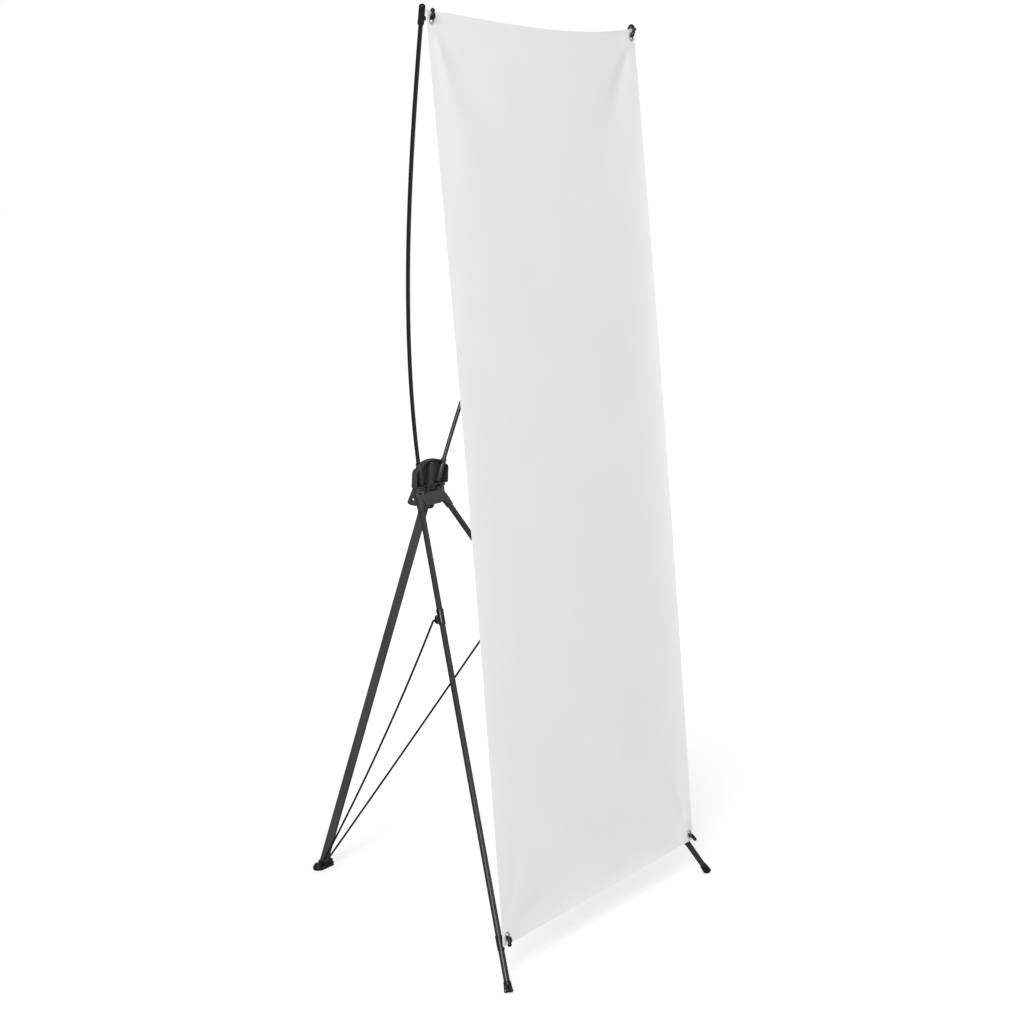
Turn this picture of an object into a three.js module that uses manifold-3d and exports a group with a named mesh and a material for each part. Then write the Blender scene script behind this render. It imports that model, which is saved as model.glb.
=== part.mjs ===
import * as THREE from 'three';
import { mergeVertices } from 'three/addons/utils/BufferGeometryUtils.js';
import Module from 'manifold-3d';

// X-banner stand. Millimetres, +Z up, +X to the banner's right, -Y to its front.
// Two splayed front legs and one rear leg fold at a moulded hub, and two bent
// poles plug into the hub and hold a blank banner by four eyelets.

// Fits shared by all pieces
const fitGap = 0.3;
const cutOver = 4;

// Banner sheet: its flat size, its lean and where its lower edge stands
const bannerWidth = 800;
const bannerHeight = 1800;
const bannerThickness = 0.6;
const bannerLean = THREE.MathUtils.degToRad(5.245);
const bannerBaseForward = 358.5;
const bannerBaseHeight = 79.7;
const bannerBow = 6;
const bannerSag = 17;
const sagSkewShare = 0.46;
const sagStartShare = 0.72;

// Folds that the pull of its corners gives the sheet: turned side and lower strips, a fall
// from left to right between them, and a crease out of each corner
const turnWidth = 42;
const leftTurnDepth = 6;
const sheetFall = 17;
const stretchShare = 0.6;
const lowerTurnWidth = 30;
const lowerTurnDepth = 6;
const lowerTurnReach = 260;
const creaseDepth = 4;
const creaseReach = 120;
const flatCornerRadius = 12;
const fullFoldRadius = 60;
// Each crease: side, level, angle from the side edge and spread as shares of a right angle,
// then its height and reach as shares of the sizes above
const creaseShares = [[-1, 1, 0.2, 0.1, 1, 1], [-1, 1, 0.52, 0.12, -0.3, 1.1], [1, 1, 0.34, 0.14, -0.9, 1],
  [1, -1, 0.2, 0.1, -0.75, 0.6], [-1, -1, 0.83, 0.1, -0.9, 1], [-1, -1, 0.24, 0.1, -0.3, 0.7]];

// Eyelets
const eyeletInset = 16;
const eyeletDrop = 16.7;
const eyeletHoleRadius = 5.6;
const eyeletBarrelWall = 0.6;
const eyeletFlangeRadius = 10;
const eyeletFlangeThickness = 0.8;

// Front legs: hinge point at the hub, foot point on the floor beyond the lower eyelets
const legHingeHalfSpan = 40.5;
const legHingeBehind = 76.5;
const legHingeHeight = 884.5;
const footOutward = 40;
const footForward = 29.5;
const legTubeRadius = 5.45;
const legTubeWall = 1.1;

// Leg socket: knuckle on the hinge, shoulder and taper over the tube
const knuckleRadius = 8;
const knuckleThickness = 9;
const socketRadius = 8;
const socketShoulderLength = 13;
const socketMouthRadius = 6.6;
const socketLength = 34;
const socketDepth = 17;
const throatHalfDepth = 6;
const legPinRadius = 2.25;
const pinHeadRadius = 3.4;
const pinHeadHeight = 1.2;

// Sliding collar with the strut's lug
const collarBelowHinge = 261;
const collarLength = 33.8;
const collarRadius = 7;
const collarRimRadius = 7.6;
const collarRimHeight = 4;
const collarChamfer = 0.8;
const lugBelowHinge = 283;
const lugReach = 8.5;
const lugBossRadius = 4;
const lugFace = 10.5;
const lugThickness = 5;
const lugFootHeight = 9;
const lugEyeDepth = 3;

// Struts
const strutRadius = 1.5;
const strutUpperSide = 14.5;
const strutLowerSide = 9.2;
const strutEyeClearance = 0.9;
const strutBow = 9.8;

// Lower clip and its hook
const clipAboveRoot = 3.9;
const clipLength = 28;
const clipRadius = 6.3;
const clipLipRadius = 6.9;
const clipLipHeight = 2.5;
const clipGrooveDepth = 0.5;
const clipGrooveHeight = 1.6;
const clipGrooveUp = 5;
const clipHookBelowEyelet = 6.3;
const lowerHookForward = 8.5;
const lowerTipOutward = 7.9;
const lowerTipForward = 11.1;
const lowerTipDown = 12.3;

// Rubber foot caps
const footCapLength = 25;
const footCapTopRadius = 6.6;
const footCapRadius = 8;
const footCapRim = 2.5;
const fluteRadius = 1.1;
const fluteCount = 10;
const footCapSeat = 8;

// Poles: straight stub in the hub, long bend, straight end in the cap
const poleRadius = 3.9;
const poleMouthInset = 21.4;
const poleMouthAhead = 1.6;
const poleMouthRise = 45.5;
const poleStubLength = 23;
const poleRootDirection = new THREE.Vector3(0.3377, -0.093, 0.9367);
const poleEndDirection = new THREE.Vector3(0.3564, -0.3427, 0.8702);
const rootPullShare = 0.3212;
const endPullShare = 0.3456;
const poleEndLength = 27;

// Pole caps and their hooks
const capOutward = 6.1;
const capBehind = 18.6;
const capBelow = 5.5;
const capSkirt = 5.7;
const capLength = 43;
const capRadius = 6.2;
const capMouthRadius = 6.5;
const capMouthHeight = 3;
const capDomeHeight = 5;
const capHookUp = 6.9;
const hookRadius = 3;
const hookBallRadius = 4.5;
const hookKneeBehind = 8;
const upperTipOutward = 3.6;
const upperTipForward = 6.5;
const upperTipUp = 15.8;

// Hub block: open-fronted tray with two inclined pole sleeves and two side ears
const blockOverhang = 20.2;
const blockHeight = 52.5;
const blockDepth = 12.5;
const blockAboveHinge = 20.5;
const blockFrontAhead = 6.5;
const blockLean = THREE.MathUtils.degToRad(3);
const blockWall = 2.4;
const blockOutlineShares = [[1, 0], [1, 0.65], [0.92, 0.76], [0.77, 0.76], [0.69, 1]];
const blockCornerRadius = 3;
const sleeveWall = 1.7;
const sleeveRise = 29;
const ribThickness = 2.4;
const ribDepth = 5;
const sideRibThickness = 1.2;
const sideRibSpan = 14;
const sideRibDepth = 2.5;
const earInset = 4.2;
const earThickness = 3;
const earDepth = 26.4;
const earHeight = 40.5;
const earRise = 2;
const earOutlineShares = [[0, 0.97], [0.44, 1], [0.52, 0.88], [0.75, 0.556], [1, 0.195],
  [0.955, 0.086], [0.66, 0.025], [0.21, 0], [0, 0.33]];
const earHoleRadius = 2.5;
const earHoleBehind = 12.1;
const earHoleUp = 13.8;
const tongueHalfWidth = 20;
const tongueThickness = 4;
const tongueLength = 18;

// Leg yoke: lower moulding that carries the three leg hinges
const yokeHeight = 28;
const yokeBelowHinge = 20.5;
const yokeFrontAhead = 12;
const yokePlateOverhang = 4;
const yokePlateThickness = 3.5;
const yokePlateShares = [[0.45, 1], [0.82, 0.84], [1, 0.57], [0.865, 0.2], [0.54, 0]];
const yokeBodyInset = 12.5;
const yokeBodyBehind = 6.5;
const yokeCoreWall = 3;
const neckInset = 3.5;
const neckFrontAhead = 4.5;
const neckAboveHinge = 2.5;
const forkGap = 0.3;
const forkEarThickness = 3.5;
const forkEarRadius = 8;
const roofGap = 0.5;
const roofThickness = 4;
const cheekThickness = 3.5;
const cheekDepth = 26;
const cheekHeight = 28.5;
const cheekAhead = 15.4;
const cheekBelowPivot = 16.5;
const cheekOutlineShares = [[0, 0.44], [0.02, 0.16], [0.31, 0], [0.69, 0.05], [1, 0.37],
  [1, 0.72], [0.69, 1], [0, 1]];

// Hub screw
const screwBelowBlock = 8;
const screwShankRadius = 2;
const screwHeadRadius = 4;
const screwHeadHeight = 2.2;
const screwSlotWidth = 1;
const screwSlotDepth = 0.9;

// Rear leg: flat-oval tube on a plug that turns between the yoke's cheeks
const rearPivotBehindHinge = 10.9;
const rearPivotBelowHinge = 16.5;
const rearFootBehind = 381.7;
const rearTubeDepth = 22;
const rearTubeWidth = 11;
const rearTubeWall = 1.2;
const rearTubeStart = 12.3;
const rearTubeFloorGap = 7;
const rearEyeRadius = 9;
const rearEyeThickness = 12;
const rearPlugLength = 30;
const rearPinRadius = 2.5;
const rearPinHeadRadius = 3.6;

// Rear foot pad
const padWidth = 62;
const padDepth = 25;
const padHeight = 15;
const padForward = 3.5;
const padRound = 3;
const padEndRise = 4;
const padEndRadius = 9;
const padBossWall = 1.7;
const padBossHeight = 27;
const padPocketFloor = 4;
const strutPinForward = 13.2;
const strutPinHeight = 22;

// Roundness of the turned and tubular shapes, in facets
const fineFacets = 20;
const tubeFacets = 14;
const wireFacets = 8;
const fluteFacets = 6;
const cornerFacets = 3;
const loopFacets = 6;
const ovalFacets = 8;
const padFacets = 5;
const poleSteps = 36;
const strutSteps = 12;
const sheetColumns = 16;
const sheetRows = 24;

// Places that follow from the front legs' hinges
const blockHalfWidth = legHingeHalfSpan + blockOverhang;
const blockBaseHeight = legHingeHeight + blockAboveHinge;
const blockFront = legHingeBehind - blockFrontAhead;
const poleMouthHalfSpan = blockHalfWidth - poleMouthInset;
const poleMouthPlace = legHingeBehind - poleMouthAhead;
const poleMouthHeight = legHingeHeight + poleMouthRise;
const yokeBaseHeight = legHingeHeight - yokeBelowHinge;
const yokeFront = legHingeBehind - yokeFrontAhead;
const yokePlateHalfWidth = legHingeHalfSpan + yokePlateOverhang;
const yokeBodyHalfWidth = legHingeHalfSpan - yokeBodyInset;
const yokeBodyBack = legHingeBehind + yokeBodyBehind;
const neckHalfWidth = legHingeHalfSpan - neckInset;
const neckFront = legHingeBehind - neckFrontAhead;
const neckBottomHeight = legHingeHeight + neckAboveHinge;
const screwHeight = blockBaseHeight - screwBelowBlock;
const rearPivotPlace = legHingeBehind + rearPivotBehindHinge;
const rearPivotHeight = legHingeHeight - rearPivotBelowHinge;
const cheekFront = rearPivotPlace - cheekAhead;
const cheekBaseHeight = rearPivotHeight - cheekBelowPivot;

const plasticLook = { color: 0x1c1d1f, roughness: 0.45, metalness: 0 };
const greyPlasticLook = { color: 0x3a3b3d, roughness: 0.5, metalness: 0 };
const tubeLook = { color: 0x2a2b2d, roughness: 0.35, metalness: 0.6 };
const poleLook = { color: 0x222325, roughness: 0.4, metalness: 0.1 };
const rubberLook = { color: 0x161616, roughness: 0.8, metalness: 0 };
const steelLook = { color: 0x9a9c9f, roughness: 0.3, metalness: 0.9 };
const bannerLook = { color: 0xe9e9ea, roughness: 0.6, metalness: 0 };

const wasm = await Module();
wasm.setup();

const up = new THREE.Vector3(0, 0, 1);
const vec = (x, y, z) => new THREE.Vector3(x, y, z);

// Closed three.js geometry turned into a solid, moved first by a matrix
function solid(geometry, matrix = new THREE.Matrix4()) {
  const bare = geometry.clone().applyMatrix4(matrix);
  bare.deleteAttribute('normal');
  bare.deleteAttribute('uv');
  const merged = mergeVertices(bare);
  const corners = Array.from(merged.index.array);
  const triangles = [];
  for (let i = 0; i < corners.length; i += 3) {
    const [a, b, c] = corners.slice(i, i + 3);
    if (a !== b && b !== c && c !== a) triangles.push(a, b, c);
  }
  const vertProperties = merged.attributes.position.array;
  const triVerts = new Uint32Array(triangles);
  return new wasm.Manifold(new wasm.Mesh({ numProp: 3, vertProperties, triVerts }));
}

const union = (...solids) => solids.reduce((whole, piece) => whole.add(piece));
const cut = (whole, ...tools) => tools.reduce((rest, tool) => rest.subtract(tool), whole);

// Named mesh of a solid, added to its group
function addPart(group, name, body, look) {
  const { vertProperties, triVerts } = body.getMesh();
  const geometry = new THREE.BufferGeometry();
  geometry.setAttribute('position', new THREE.BufferAttribute(vertProperties, 3));
  geometry.setIndex(new THREE.BufferAttribute(triVerts, 1));
  geometry.computeVertexNormals();
  const mesh = new THREE.Mesh(geometry, new THREE.MeshStandardMaterial(look));
  mesh.name = name;
  group.add(mesh);
  return mesh;
}

function box(minX, maxX, minY, maxY, minZ, maxZ, matrix) {
  const geometry = new THREE.BoxGeometry(maxX - minX, maxY - minY, maxZ - minZ);
  geometry.translate((minX + maxX) / 2, (minY + maxY) / 2, (minZ + maxZ) / 2);
  return solid(geometry, matrix);
}

// Round bar between two points
function rod(from, to, radius, facets = tubeFacets, matrix) {
  const along = to.clone().sub(from);
  const geometry = new THREE.CylinderGeometry(radius, radius, along.length(), facets);
  const turn = new THREE.Quaternion().setFromUnitVectors(vec(0, 1, 0), along.clone().normalize());
  geometry.applyQuaternion(turn);
  geometry.translate((from.x + to.x) / 2, (from.y + to.y) / 2, (from.z + to.z) / 2);
  return solid(geometry, matrix);
}

function ball(centre, radius, facets = tubeFacets) {
  const geometry = new THREE.SphereGeometry(radius, facets, Math.ceil(facets / 2));
  geometry.translate(centre.x, centre.y, centre.z);
  return solid(geometry);
}

// Bent bar through a list of points, with round elbows
function bentRod(points, radius, facets = tubeFacets) {
  const runs = points.slice(1).map((point, i) => rod(points[i], point, radius, facets));
  const elbows = points.slice(1, -1).map((point) => ball(point, radius, facets));
  return union(...runs, ...elbows);
}

// Turned shape about Z from a profile of [radius, height] pairs, bottom to top
function turned(profile, facets = fineFacets, matrix) {
  const points = profile.map(([radius, height]) => new THREE.Vector2(radius, height));
  const geometry = new THREE.LatheGeometry(points, facets);
  geometry.rotateX(Math.PI / 2);
  return solid(geometry, matrix);
}

// Pipe about Z between two heights
const pipe = (inner, outer, bottom, top, facets) => turned(
  [[inner, bottom], [outer, bottom], [outer, top], [inner, top], [inner, bottom]], facets);

// Closed outline with every corner rounded
function roundedShape(points, radius) {
  const shape = new THREE.Shape();
  points.forEach((point, i) => {
    const before = points[(i + points.length - 1) % points.length];
    const after = points[(i + 1) % points.length];
    const enter = point.clone().sub(before);
    const leave = after.clone().sub(point);
    const trim = Math.min(radius, enter.length() / 2, leave.length() / 2);
    const start = point.clone().sub(enter.setLength(trim));
    const end = point.clone().add(leave.setLength(trim));
    if (i === 0) shape.moveTo(start.x, start.y);
    else shape.lineTo(start.x, start.y);
    shape.quadraticCurveTo(point.x, point.y, end.x, end.y);
  });
  shape.closePath();
  return shape;
}

// Outline moved inwards by an even wall; the points run anticlockwise
function inset(points, wall) {
  return points.map((point, i) => {
    const before = points[(i + points.length - 1) % points.length];
    const after = points[(i + 1) % points.length];
    const enter = point.clone().sub(before).normalize();
    const leave = after.clone().sub(point).normalize();
    const bisector = vec(-enter.y - leave.y, enter.x + leave.x, 0).normalize();
    const spread = bisector.x * -enter.y + bisector.y * enter.x;
    return new THREE.Vector2(point.x + bisector.x * wall / spread, point.y + bisector.y * wall / spread);
  });
}

// Stadium outline, long along X
function stadium(length, width) {
  const shape = new THREE.Shape();
  const reach = (length - width) / 2;
  shape.absarc(reach, 0, width / 2, -Math.PI / 2, Math.PI / 2);
  shape.absarc(-reach, 0, width / 2, Math.PI / 2, Math.PI * 3 / 2);
  shape.closePath();
  return shape;
}

function extruded(shape, depth, matrix, curveSegments = cornerFacets) {
  return solid(new THREE.ExtrudeGeometry(shape, { depth, bevelEnabled: false, curveSegments }), matrix);
}

// Outline in the Y-Z plane, extruded along X from a start
const acrossX = (shape, start, depth) => extruded(shape, depth, new THREE.Matrix4()
  .makeBasis(vec(0, 1, 0), vec(0, 0, 1), vec(1, 0, 0)).setPosition(start, 0, 0));

// Outline in the X-Z plane, extruded backwards along Y from its front face
const acrossY = (shape, front, depth) => extruded(shape, depth, new THREE.Matrix4()
  .makeBasis(vec(1, 0, 0), vec(0, 0, 1), vec(0, -1, 0)).setPosition(0, front + depth, 0));

// Points from shares of a width and a height, from a corner
const shared = (shares, width, height, left = 0, bottom = 0) => shares.map(
  ([across, rise]) => new THREE.Vector2(left + across * width, bottom + rise * height));

// Right half of an outline and its mirror image, as one closed loop
const mirrored = (points) => [...points,
  ...points.slice().reverse().map((point) => new THREE.Vector2(-point.x, point.y))];

// Group at a point, its Z along the way up from a foot and its X level
function standingGroup(at, foot) {
  const rise = at.clone().sub(foot).normalize();
  const level = vec(rise.y, -rise.x, 0).normalize();
  const group = new THREE.Group();
  group.matrix.makeBasis(level, rise.clone().cross(level), rise).setPosition(at);
  group.matrix.decompose(group.position, group.quaternion, group.scale);
  return group;
}

// Matrix that carries the stand's own frame into a group's frame
function intoGroup(group) {
  group.updateMatrixWorld(true);
  return group.matrixWorld.clone().invert();
}

const stand = new THREE.Group();

const eyeletPlace = (side, level) => vec(side * (bannerWidth / 2 - eyeletInset), 0,
  level > 0 ? bannerHeight - eyeletDrop : eyeletDrop);

// How far the folds stand forward of the bowed sheet at a place on the flat sheet
function foldForward(x, z) {
  const fromLeft = bannerWidth / 2 + x;
  const fromRight = bannerWidth / 2 - x;
  const stretch = Math.sin(Math.PI * z / bannerHeight) ** stretchShare;
  const turns = leftTurnDepth * (1 - Math.exp(-fromLeft / turnWidth)) - sheetFall * fromLeft / bannerWidth
    + (sheetFall - leftTurnDepth) * Math.exp(-fromRight / turnWidth);
  const lower = lowerTurnDepth * (1 - Math.exp(-z / lowerTurnWidth)) * Math.exp(-z / lowerTurnReach);
  let forward = turns * stretch - lower * fromLeft * fromRight * 4 / bannerWidth ** 2;
  for (const [side, level, angleShare, spreadShare, heightShare, reachShare] of creaseShares) {
    const eyelet = eyeletPlace(side, level);
    const inward = (eyelet.x - x) * side;
    const along = (eyelet.z - z) * level;
    const reach = Math.hypot(inward, along) / (creaseReach * reachShare);
    const turn = Math.atan2(inward, along) / (Math.PI / 2) - angleShare;
    const height = creaseDepth * heightShare * Math.exp(-((turn / spreadShare) ** 2));
    forward += height * reach * Math.exp(1 - reach);
  }
  for (const side of [-1, 1]) {
    for (const level of [-1, 1]) {
      const away = eyeletPlace(side, level).distanceTo(vec(x, 0, z));
      forward *= THREE.MathUtils.smoothstep(away, flatCornerRadius, fullFoldRadius);
    }
  }
  return forward;
}

// Banner surface in its own frame: x across, z up, bowed and folded forward, top edge sagging
function bannerPoint(across, rise) {
  const falloff = Math.max(0, (rise - sagStartShare) / (1 - sagStartShare)) ** 2;
  const sag = bannerSag * (1 - across ** 2) * (1 + sagSkewShare * across) * falloff;
  const x = across * bannerWidth / 2;
  const z = rise * bannerHeight;
  return vec(x, -bannerBow * Math.sin(Math.PI * rise) - foldForward(x, z), z - sag);
}

const banner = new THREE.Group();
banner.position.set(0, -bannerBaseForward, bannerBaseHeight);
banner.rotation.x = -bannerLean;
stand.add(banner);
banner.updateMatrixWorld(true);

const eyeletAcross = 1 - eyeletInset / (bannerWidth / 2);
const eyeletRises = { top: 1 - eyeletDrop / bannerHeight, bottom: eyeletDrop / bannerHeight };
const eyeletPoint = (side, level) => bannerPoint(side * eyeletAcross, eyeletRises[level]);
const eyeletInStand = (side, level) => banner.localToWorld(eyeletPoint(side, level));

const sides = { left: -1, right: 1 };

// Sheet of two faces and a rim, its rows and columns closer together near the edges
function bannerSheet(columns, rows) {
  const sheet = new THREE.PlaneGeometry(bannerWidth, bannerHeight, columns, rows);
  const flat = sheet.attributes.position;
  const positions = [];
  for (const face of [-1, 1]) {
    for (let i = 0; i < flat.count; i += 1) {
      const across = Math.sin(Math.PI * flat.getX(i) / bannerWidth);
      const rise = (1 + Math.sin(Math.PI * flat.getY(i) / bannerHeight)) / 2;
      const point = bannerPoint(across, rise);
      positions.push(point.x, point.y + face * bannerThickness / 2, point.z);
    }
  }
  const front = Array.from(sheet.index.array);
  const back = front.map((corner) => corner + flat.count).reverse();
  const rim = [];
  const width = columns + 1;
  const walk = [];
  for (let i = 0; i < columns; i += 1) walk.push(i);
  for (let j = 0; j < rows; j += 1) walk.push(j * width + columns);
  for (let i = columns; i > 0; i -= 1) walk.push(rows * width + i);
  for (let j = rows; j > 0; j -= 1) walk.push(j * width);
  walk.forEach((a, i) => {
    const b = walk[(i + 1) % walk.length];
    rim.push(a, b, a + flat.count, b, b + flat.count, a + flat.count);
  });
  const geometry = new THREE.BufferGeometry();
  geometry.setAttribute('position', new THREE.Float32BufferAttribute(positions, 3));
  geometry.setIndex([...front, ...back, ...rim]);
  return solid(geometry);
}

const eyeletBarrelRadius = eyeletHoleRadius + eyeletBarrelWall;
const eyeletSeat = bannerThickness / 2 + fitGap;
const eyeletReach = eyeletSeat + eyeletFlangeThickness;
let sheetBody = bannerSheet(sheetColumns, sheetRows);
for (const [sideName, side] of Object.entries(sides)) {
  for (const level of ['top', 'bottom']) {
    const centre = eyeletPoint(side, level);
    const behind = centre.clone().add(vec(0, cutOver, 0));
    const before = centre.clone().sub(vec(0, cutOver, 0));
    sheetBody = cut(sheetBody, rod(before, behind, eyeletBarrelRadius + fitGap));
    const lip = eyeletFlangeThickness / 2;
    const ring = turned([[eyeletHoleRadius, -eyeletReach], [eyeletFlangeRadius - lip, -eyeletReach],
      [eyeletFlangeRadius, -eyeletReach + lip], [eyeletFlangeRadius, -eyeletSeat],
      [eyeletBarrelRadius, -eyeletSeat], [eyeletBarrelRadius, eyeletSeat],
      [eyeletFlangeRadius, eyeletSeat], [eyeletFlangeRadius, eyeletReach - lip],
      [eyeletFlangeRadius - lip, eyeletReach], [eyeletHoleRadius, eyeletReach],
      [eyeletHoleRadius, -eyeletReach]], tubeFacets);
    const eyelet = addPart(banner, `eyelet_${level}_${sideName}`, ring, steelLook);
    eyelet.position.copy(centre);
    eyelet.rotation.x = Math.PI / 2;
  }
}
addPart(banner, 'banner', sheetBody, bannerLook);

// Round outline of a bar that is drawn along a curve
const roundSection = (radius) => new THREE.Shape(
  new THREE.Path().absarc(0, 0, radius, 0, Math.PI * 2).getPoints(wireFacets / 2));

// Hook from a root point through an eyelet to its ball tip
function hook(root, stem, forward, tip) {
  const knee = stem.clone().add(vec(0, hookKneeBehind, 0));
  const elbow = stem.clone().sub(vec(0, forward, 0));
  const bar = bentRod([root, knee, elbow, tip], hookRadius, wireFacets);
  return union(bar, ball(tip, hookBallRadius, wireFacets));
}
const hookSeat = eyeletHoleRadius - hookRadius - fitGap;

// Poles, pole caps and upper hooks
for (const [sideName, side] of Object.entries(sides)) {
  const facing = vec(side, 1, 1);
  const rootWay = poleRootDirection.clone().normalize().multiply(facing);
  const endWay = poleEndDirection.clone().normalize().multiply(facing);
  const mouth = vec(side * poleMouthHalfSpan, poleMouthPlace, poleMouthHeight);
  const eyelet = eyeletInStand(side, 'top');
  const top = eyelet.clone().add(vec(side * capOutward, capBehind, -capBelow));
  const span = mouth.distanceTo(top);
  const stub = mouth.clone().addScaledVector(rootWay, -poleStubLength);
  const path = new THREE.CurvePath();
  path.add(new THREE.LineCurve3(stub, mouth));
  path.add(new THREE.CubicBezierCurve3(mouth, mouth.clone().addScaledVector(rootWay, span * rootPullShare),
    top.clone().addScaledVector(endWay, -span * endPullShare), top));
  path.add(new THREE.LineCurve3(top, top.clone().addScaledVector(endWay, poleEndLength)));
  const poleBody = solid(new THREE.ExtrudeGeometry(roundSection(poleRadius),
    { steps: poleSteps, extrudePath: path }));
  addPart(stand, `pole_${sideName}`, poleBody, poleLook);

  const capTop = capLength - capSkirt;
  const bore = poleRadius + fitGap;
  const shell = turned([[bore, -capSkirt], [capMouthRadius, -capSkirt],
    [capMouthRadius, capMouthHeight - capSkirt], [capRadius, capMouthHeight * 2 - capSkirt],
    [capRadius, capTop - capDomeHeight], [capRadius * Math.cos(Math.PI / 6), capTop - capDomeHeight / 2],
    [capRadius / 2, capTop - capDomeHeight / 8], [0, capTop],
    [0, poleEndLength + fitGap], [bore, poleEndLength + fitGap], [bore, -capSkirt]], tubeFacets);
  const place = new THREE.Matrix4().makeRotationFromQuaternion(
    new THREE.Quaternion().setFromUnitVectors(up, endWay)).setPosition(top);
  const root = top.clone().addScaledVector(endWay, capHookUp);
  const stem = eyelet.clone().add(vec(0, 0, hookSeat));
  const tip = eyelet.clone().add(vec(side * upperTipOutward, -upperTipForward, upperTipUp));
  const boreRoom = rod(top.clone().addScaledVector(endWay, -capSkirt - cutOver),
    top.clone().addScaledVector(endWay, poleEndLength + fitGap), bore, tubeFacets);
  const capHook = hook(root, stem, upperTipForward, tip);
  const capBody = cut(union(shell.transform(place.elements), capHook), boreRoom);
  addPart(stand, `pole_cap_${sideName}`, capBody, plasticLook);
}

// Key places of the legs
const legHinge = (side) => vec(side * legHingeHalfSpan, legHingeBehind, legHingeHeight);
function footPoint(side) {
  const eyelet = eyeletInStand(side, 'bottom');
  return vec(eyelet.x + side * footOutward, eyelet.y - footForward, 0);
}
const rearPivot = vec(0, rearPivotPlace, rearPivotHeight);
const rearGround = vec(0, rearFootBehind, 0);
const strutPin = (side) => vec(side * strutLowerSide, rearFootBehind - strutPinForward, strutPinHeight);

// Hub block, built upright and tipped forward about its lower back edge
const blockTop = blockBaseHeight + blockHeight;
const blockBack = blockFront + blockDepth;
const tip = new THREE.Matrix4().makeTranslation(0, blockBack, blockBaseHeight)
  .multiply(new THREE.Matrix4().makeRotationX(blockLean))
  .multiply(new THREE.Matrix4().makeTranslation(0, -blockBack, -blockBaseHeight));
const tipped = (body) => body.transform(tip.elements);
const blockOutline = mirrored(shared(blockOutlineShares, blockHalfWidth, blockHeight, 0, blockBaseHeight));
const blockInner = inset(blockOutline, blockWall);
const tray = cut(
  acrossY(roundedShape(blockOutline, blockCornerRadius), blockFront, blockDepth),
  acrossY(roundedShape(blockInner, blockCornerRadius - blockWall / 2), blockFront - cutOver,
    blockDepth + cutOver - blockWall));
const innerBack = blockBack - blockWall / 2;
const rib = (centre, thickness, depth) => box(centre - thickness / 2, centre + thickness / 2,
  innerBack - depth, innerBack, blockBaseHeight + blockWall / 2, blockTop - blockWall / 2);
let blockBody = tipped(union(tray, rib(0, ribThickness, ribDepth),
  rib(-sideRibSpan, sideRibThickness, sideRibDepth), rib(sideRibSpan, sideRibThickness, sideRibDepth)));

const sleeveRadius = poleRadius + fitGap + sleeveWall;
for (const side of Object.values(sides)) {
  const way = poleRootDirection.clone().normalize().multiply(vec(side, 1, 1));
  const mouth = vec(side * poleMouthHalfSpan, poleMouthPlace, poleMouthHeight);
  const foot = mouth.clone().addScaledVector(way, -poleStubLength);
  const sleeveTop = mouth.clone().addScaledVector(way, sleeveRise);
  blockBody = union(blockBody, rod(foot, sleeveTop, sleeveRadius, fineFacets));
  const boreEnd = foot.clone().addScaledVector(way, -fitGap);
  blockBody = cut(blockBody, rod(boreEnd, sleeveTop.clone().addScaledVector(way, cutOver),
    poleRadius + fitGap, fineFacets));
  const earOuter = blockHalfWidth - earInset;
  const earStart = side > 0 ? earOuter - earThickness : -earOuter;
  const earOutline = shared(earOutlineShares, earDepth, earHeight, blockFront,
    blockBaseHeight + earRise - earHeight);
  const earHole = vec(0, blockFront + earHoleBehind, blockBaseHeight + earRise - earHeight + earHoleUp);
  const ear = cut(acrossX(roundedShape(earOutline, blockCornerRadius), earStart, earThickness),
    rod(earHole.clone().setX(earStart - cutOver), earHole.clone().setX(earStart + earThickness + cutOver),
      earHoleRadius));
  blockBody = union(blockBody, ear);
}

// Tongue of the block behind the yoke's neck, and the screw that joins them
const neckBack = blockBack - tongueThickness - fitGap;
const neckTop = blockBaseHeight - blockDepth * Math.sin(blockLean) - fitGap;
const screwAt = vec(0, neckFront, screwHeight);
const tongue = box(-tongueHalfWidth, tongueHalfWidth, blockBack - tongueThickness, blockBack,
  blockBaseHeight - tongueLength, blockBaseHeight + blockWall / 2);
const screwBore = rod(screwAt.clone().setY(neckFront - cutOver),
  screwAt.clone().setY(blockBack + cutOver), screwShankRadius + fitGap);
addPart(stand, 'hub_block', cut(union(blockBody, tongue), screwBore), plasticLook);

const screwHead = turned([[0, 0], [screwHeadRadius, 0], [screwHeadRadius, screwHeadHeight / 2],
  [screwHeadRadius / 2, screwHeadHeight], [0, screwHeadHeight]], tubeFacets,
new THREE.Matrix4().makeRotationX(Math.PI / 2).setPosition(0, neckFront - fitGap, screwHeight));
const screwShank = rod(screwAt.clone().setY(neckFront - fitGap * 2), screwAt.clone().setY(blockBack),
  screwShankRadius);
const slotCentre = neckFront - fitGap - screwHeadHeight;
const slot = (width, height) => box(-width, width, slotCentre - cutOver, slotCentre + screwSlotDepth,
  screwHeight - height, screwHeight + height);
const slotReach = screwHeadRadius / 2;
addPart(stand, 'hub_screw', cut(union(screwHead, screwShank), slot(slotReach, screwSlotWidth / 2),
  slot(screwSlotWidth / 2, slotReach)), steelLook);

// Rear leg frame, its Z up along the leg
const rearLeg = new THREE.Group();
const rearFall = rearPivot.clone().sub(rearGround);
rearLeg.position.copy(rearPivot);
rearLeg.rotation.x = Math.atan2(-rearFall.y, rearFall.z);
stand.add(rearLeg);
rearLeg.updateMatrixWorld(true);

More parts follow.
